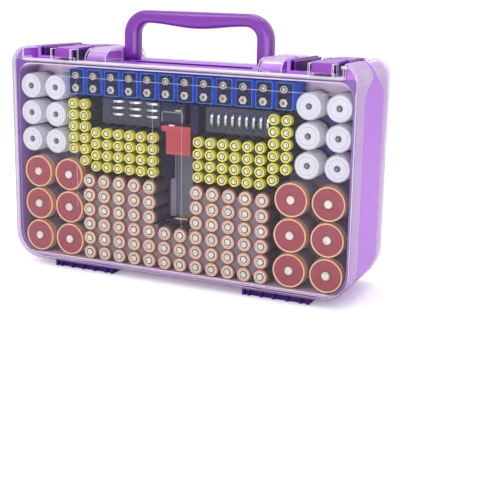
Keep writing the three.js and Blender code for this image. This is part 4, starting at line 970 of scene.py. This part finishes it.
# Floor: a little added white, for camera rays alone, keeps the far floor as white as the backdrop
FLOOR_SIZE = 60
FLOOR_GLOW = 0.2
bpy.ops.mesh.primitive_plane_add(size=FLOOR_SIZE, location=(0, 0, 0))
floor = bpy.context.object
floor.name = "floor"
floor_white = plastic("floor_white", srgb(254, 254, 254), 0.8, vary=0.01, bump=0)
tree = floor_white.node_tree
floor_shader = next(node for node in tree.nodes if node.type == "BSDF_PRINCIPLED")
camera_ray = tree.nodes.new("ShaderNodeLightPath").outputs["Is Camera Ray"]
floor_shader.inputs["Emission Color"].default_value = (1, 1, 1, 1)
glow = calculate(tree, "MULTIPLY", camera_ray, FLOOR_GLOW)
connect(tree, glow, floor_shader.inputs["Emission Strength"])
floor.data.materials.append(floor_white)

# World: a gradient lights the object, while camera, mirror and glass rays see plain white
world = bpy.data.worlds.new("studio")
bpy.context.scene.world = world
world.use_nodes = True
tree = world.node_tree
direction = tree.nodes.new("ShaderNodeSeparateXYZ")
connect(tree, tree.nodes.new("ShaderNodeTexCoord").outputs["Generated"], direction.inputs[0])
sideways = map_range(tree, direction.outputs[0], (0.1, 0.8), (1.0, 0.45))
behind = map_range(tree, direction.outputs[1], (-0.3, 0.3), (0.43, 0.78))
above = map_range(tree, direction.outputs[2], (0, 1), (0.04, 0.55))
light = calculate(tree, "MULTIPLY", calculate(tree, "ADD", behind, above), sideways)
rays = tree.nodes.new("ShaderNodeLightPath").outputs
white = calculate(tree, "MAXIMUM", rays["Is Camera Ray"], rays["Is Glossy Ray"])
white = calculate(tree, "MAXIMUM", white, rays["Is Transmission Ray"])
strength = tree.nodes.new("ShaderNodeMix")
connect(tree, white, strength.inputs[0])
connect(tree, light, strength.inputs[2])
connect(tree, 1.0, strength.inputs[3])
background = tree.nodes["Background"]
connect(tree, (1, 1, 1, 1), background.inputs[0])
connect(tree, strength.outputs[0], background.inputs[1])


# Lamps: name, place, aim, size, power
def area(name, place, aim, size, power):
    lamp = bpy.data.lights.new(name, "AREA")
    lamp.shape = "RECTANGLE"
    lamp.size, lamp.size_y = size
    lamp.energy = power
    o = add_object(name, lamp)
    o.location = place
    o.rotation_euler = (Vector(aim) - Vector(place)).to_track_quat("-Z", "Y").to_euler()


area("key", (-0.5, -1.3, 1.3), (0, 0, 0.12), (0.9, 0.9), 8)
area("fill", (1.4, -0.5, 0.8), (0, 0, 0.12), (0.8, 1.2), 2.7)
area("top", (0.1, 0.3, 1.6), (0, 0, 0.1), (1.2, 0.8), 8.2)
area("low", (0.3, -1.4, 0.16), (0, 0, 0.16), (1.4, 0.3), 3.6)

# Camera: fitted to the centres of the cells in the photo, with half of the lens shift that fits best
camera = bpy.data.cameras.new("camera")
camera_object = add_object("camera", camera)
right = Vector((0.9235, 0.38268, 0.0266))
up = Vector((-0.10314, 0.1809, 0.97808))
back = Vector((0.36948, -0.906, 0.20653))
turn = Matrix((right, up, back)).transposed()
camera_object.matrix_world = Matrix.Translation((0.4386, -0.8643, 0.2967)) @ turn.to_4x4()
camera.sensor_width = 36
camera.lens = 68.096
camera.shift_x = -0.04791
camera.shift_y = -0.12109
camera.clip_start, camera.clip_end = 0.01, 50
bpy.context.scene.camera = camera_object

bpy.context.scene.view_settings.view_transform = "Standard"
bpy.context.view_layer.update()
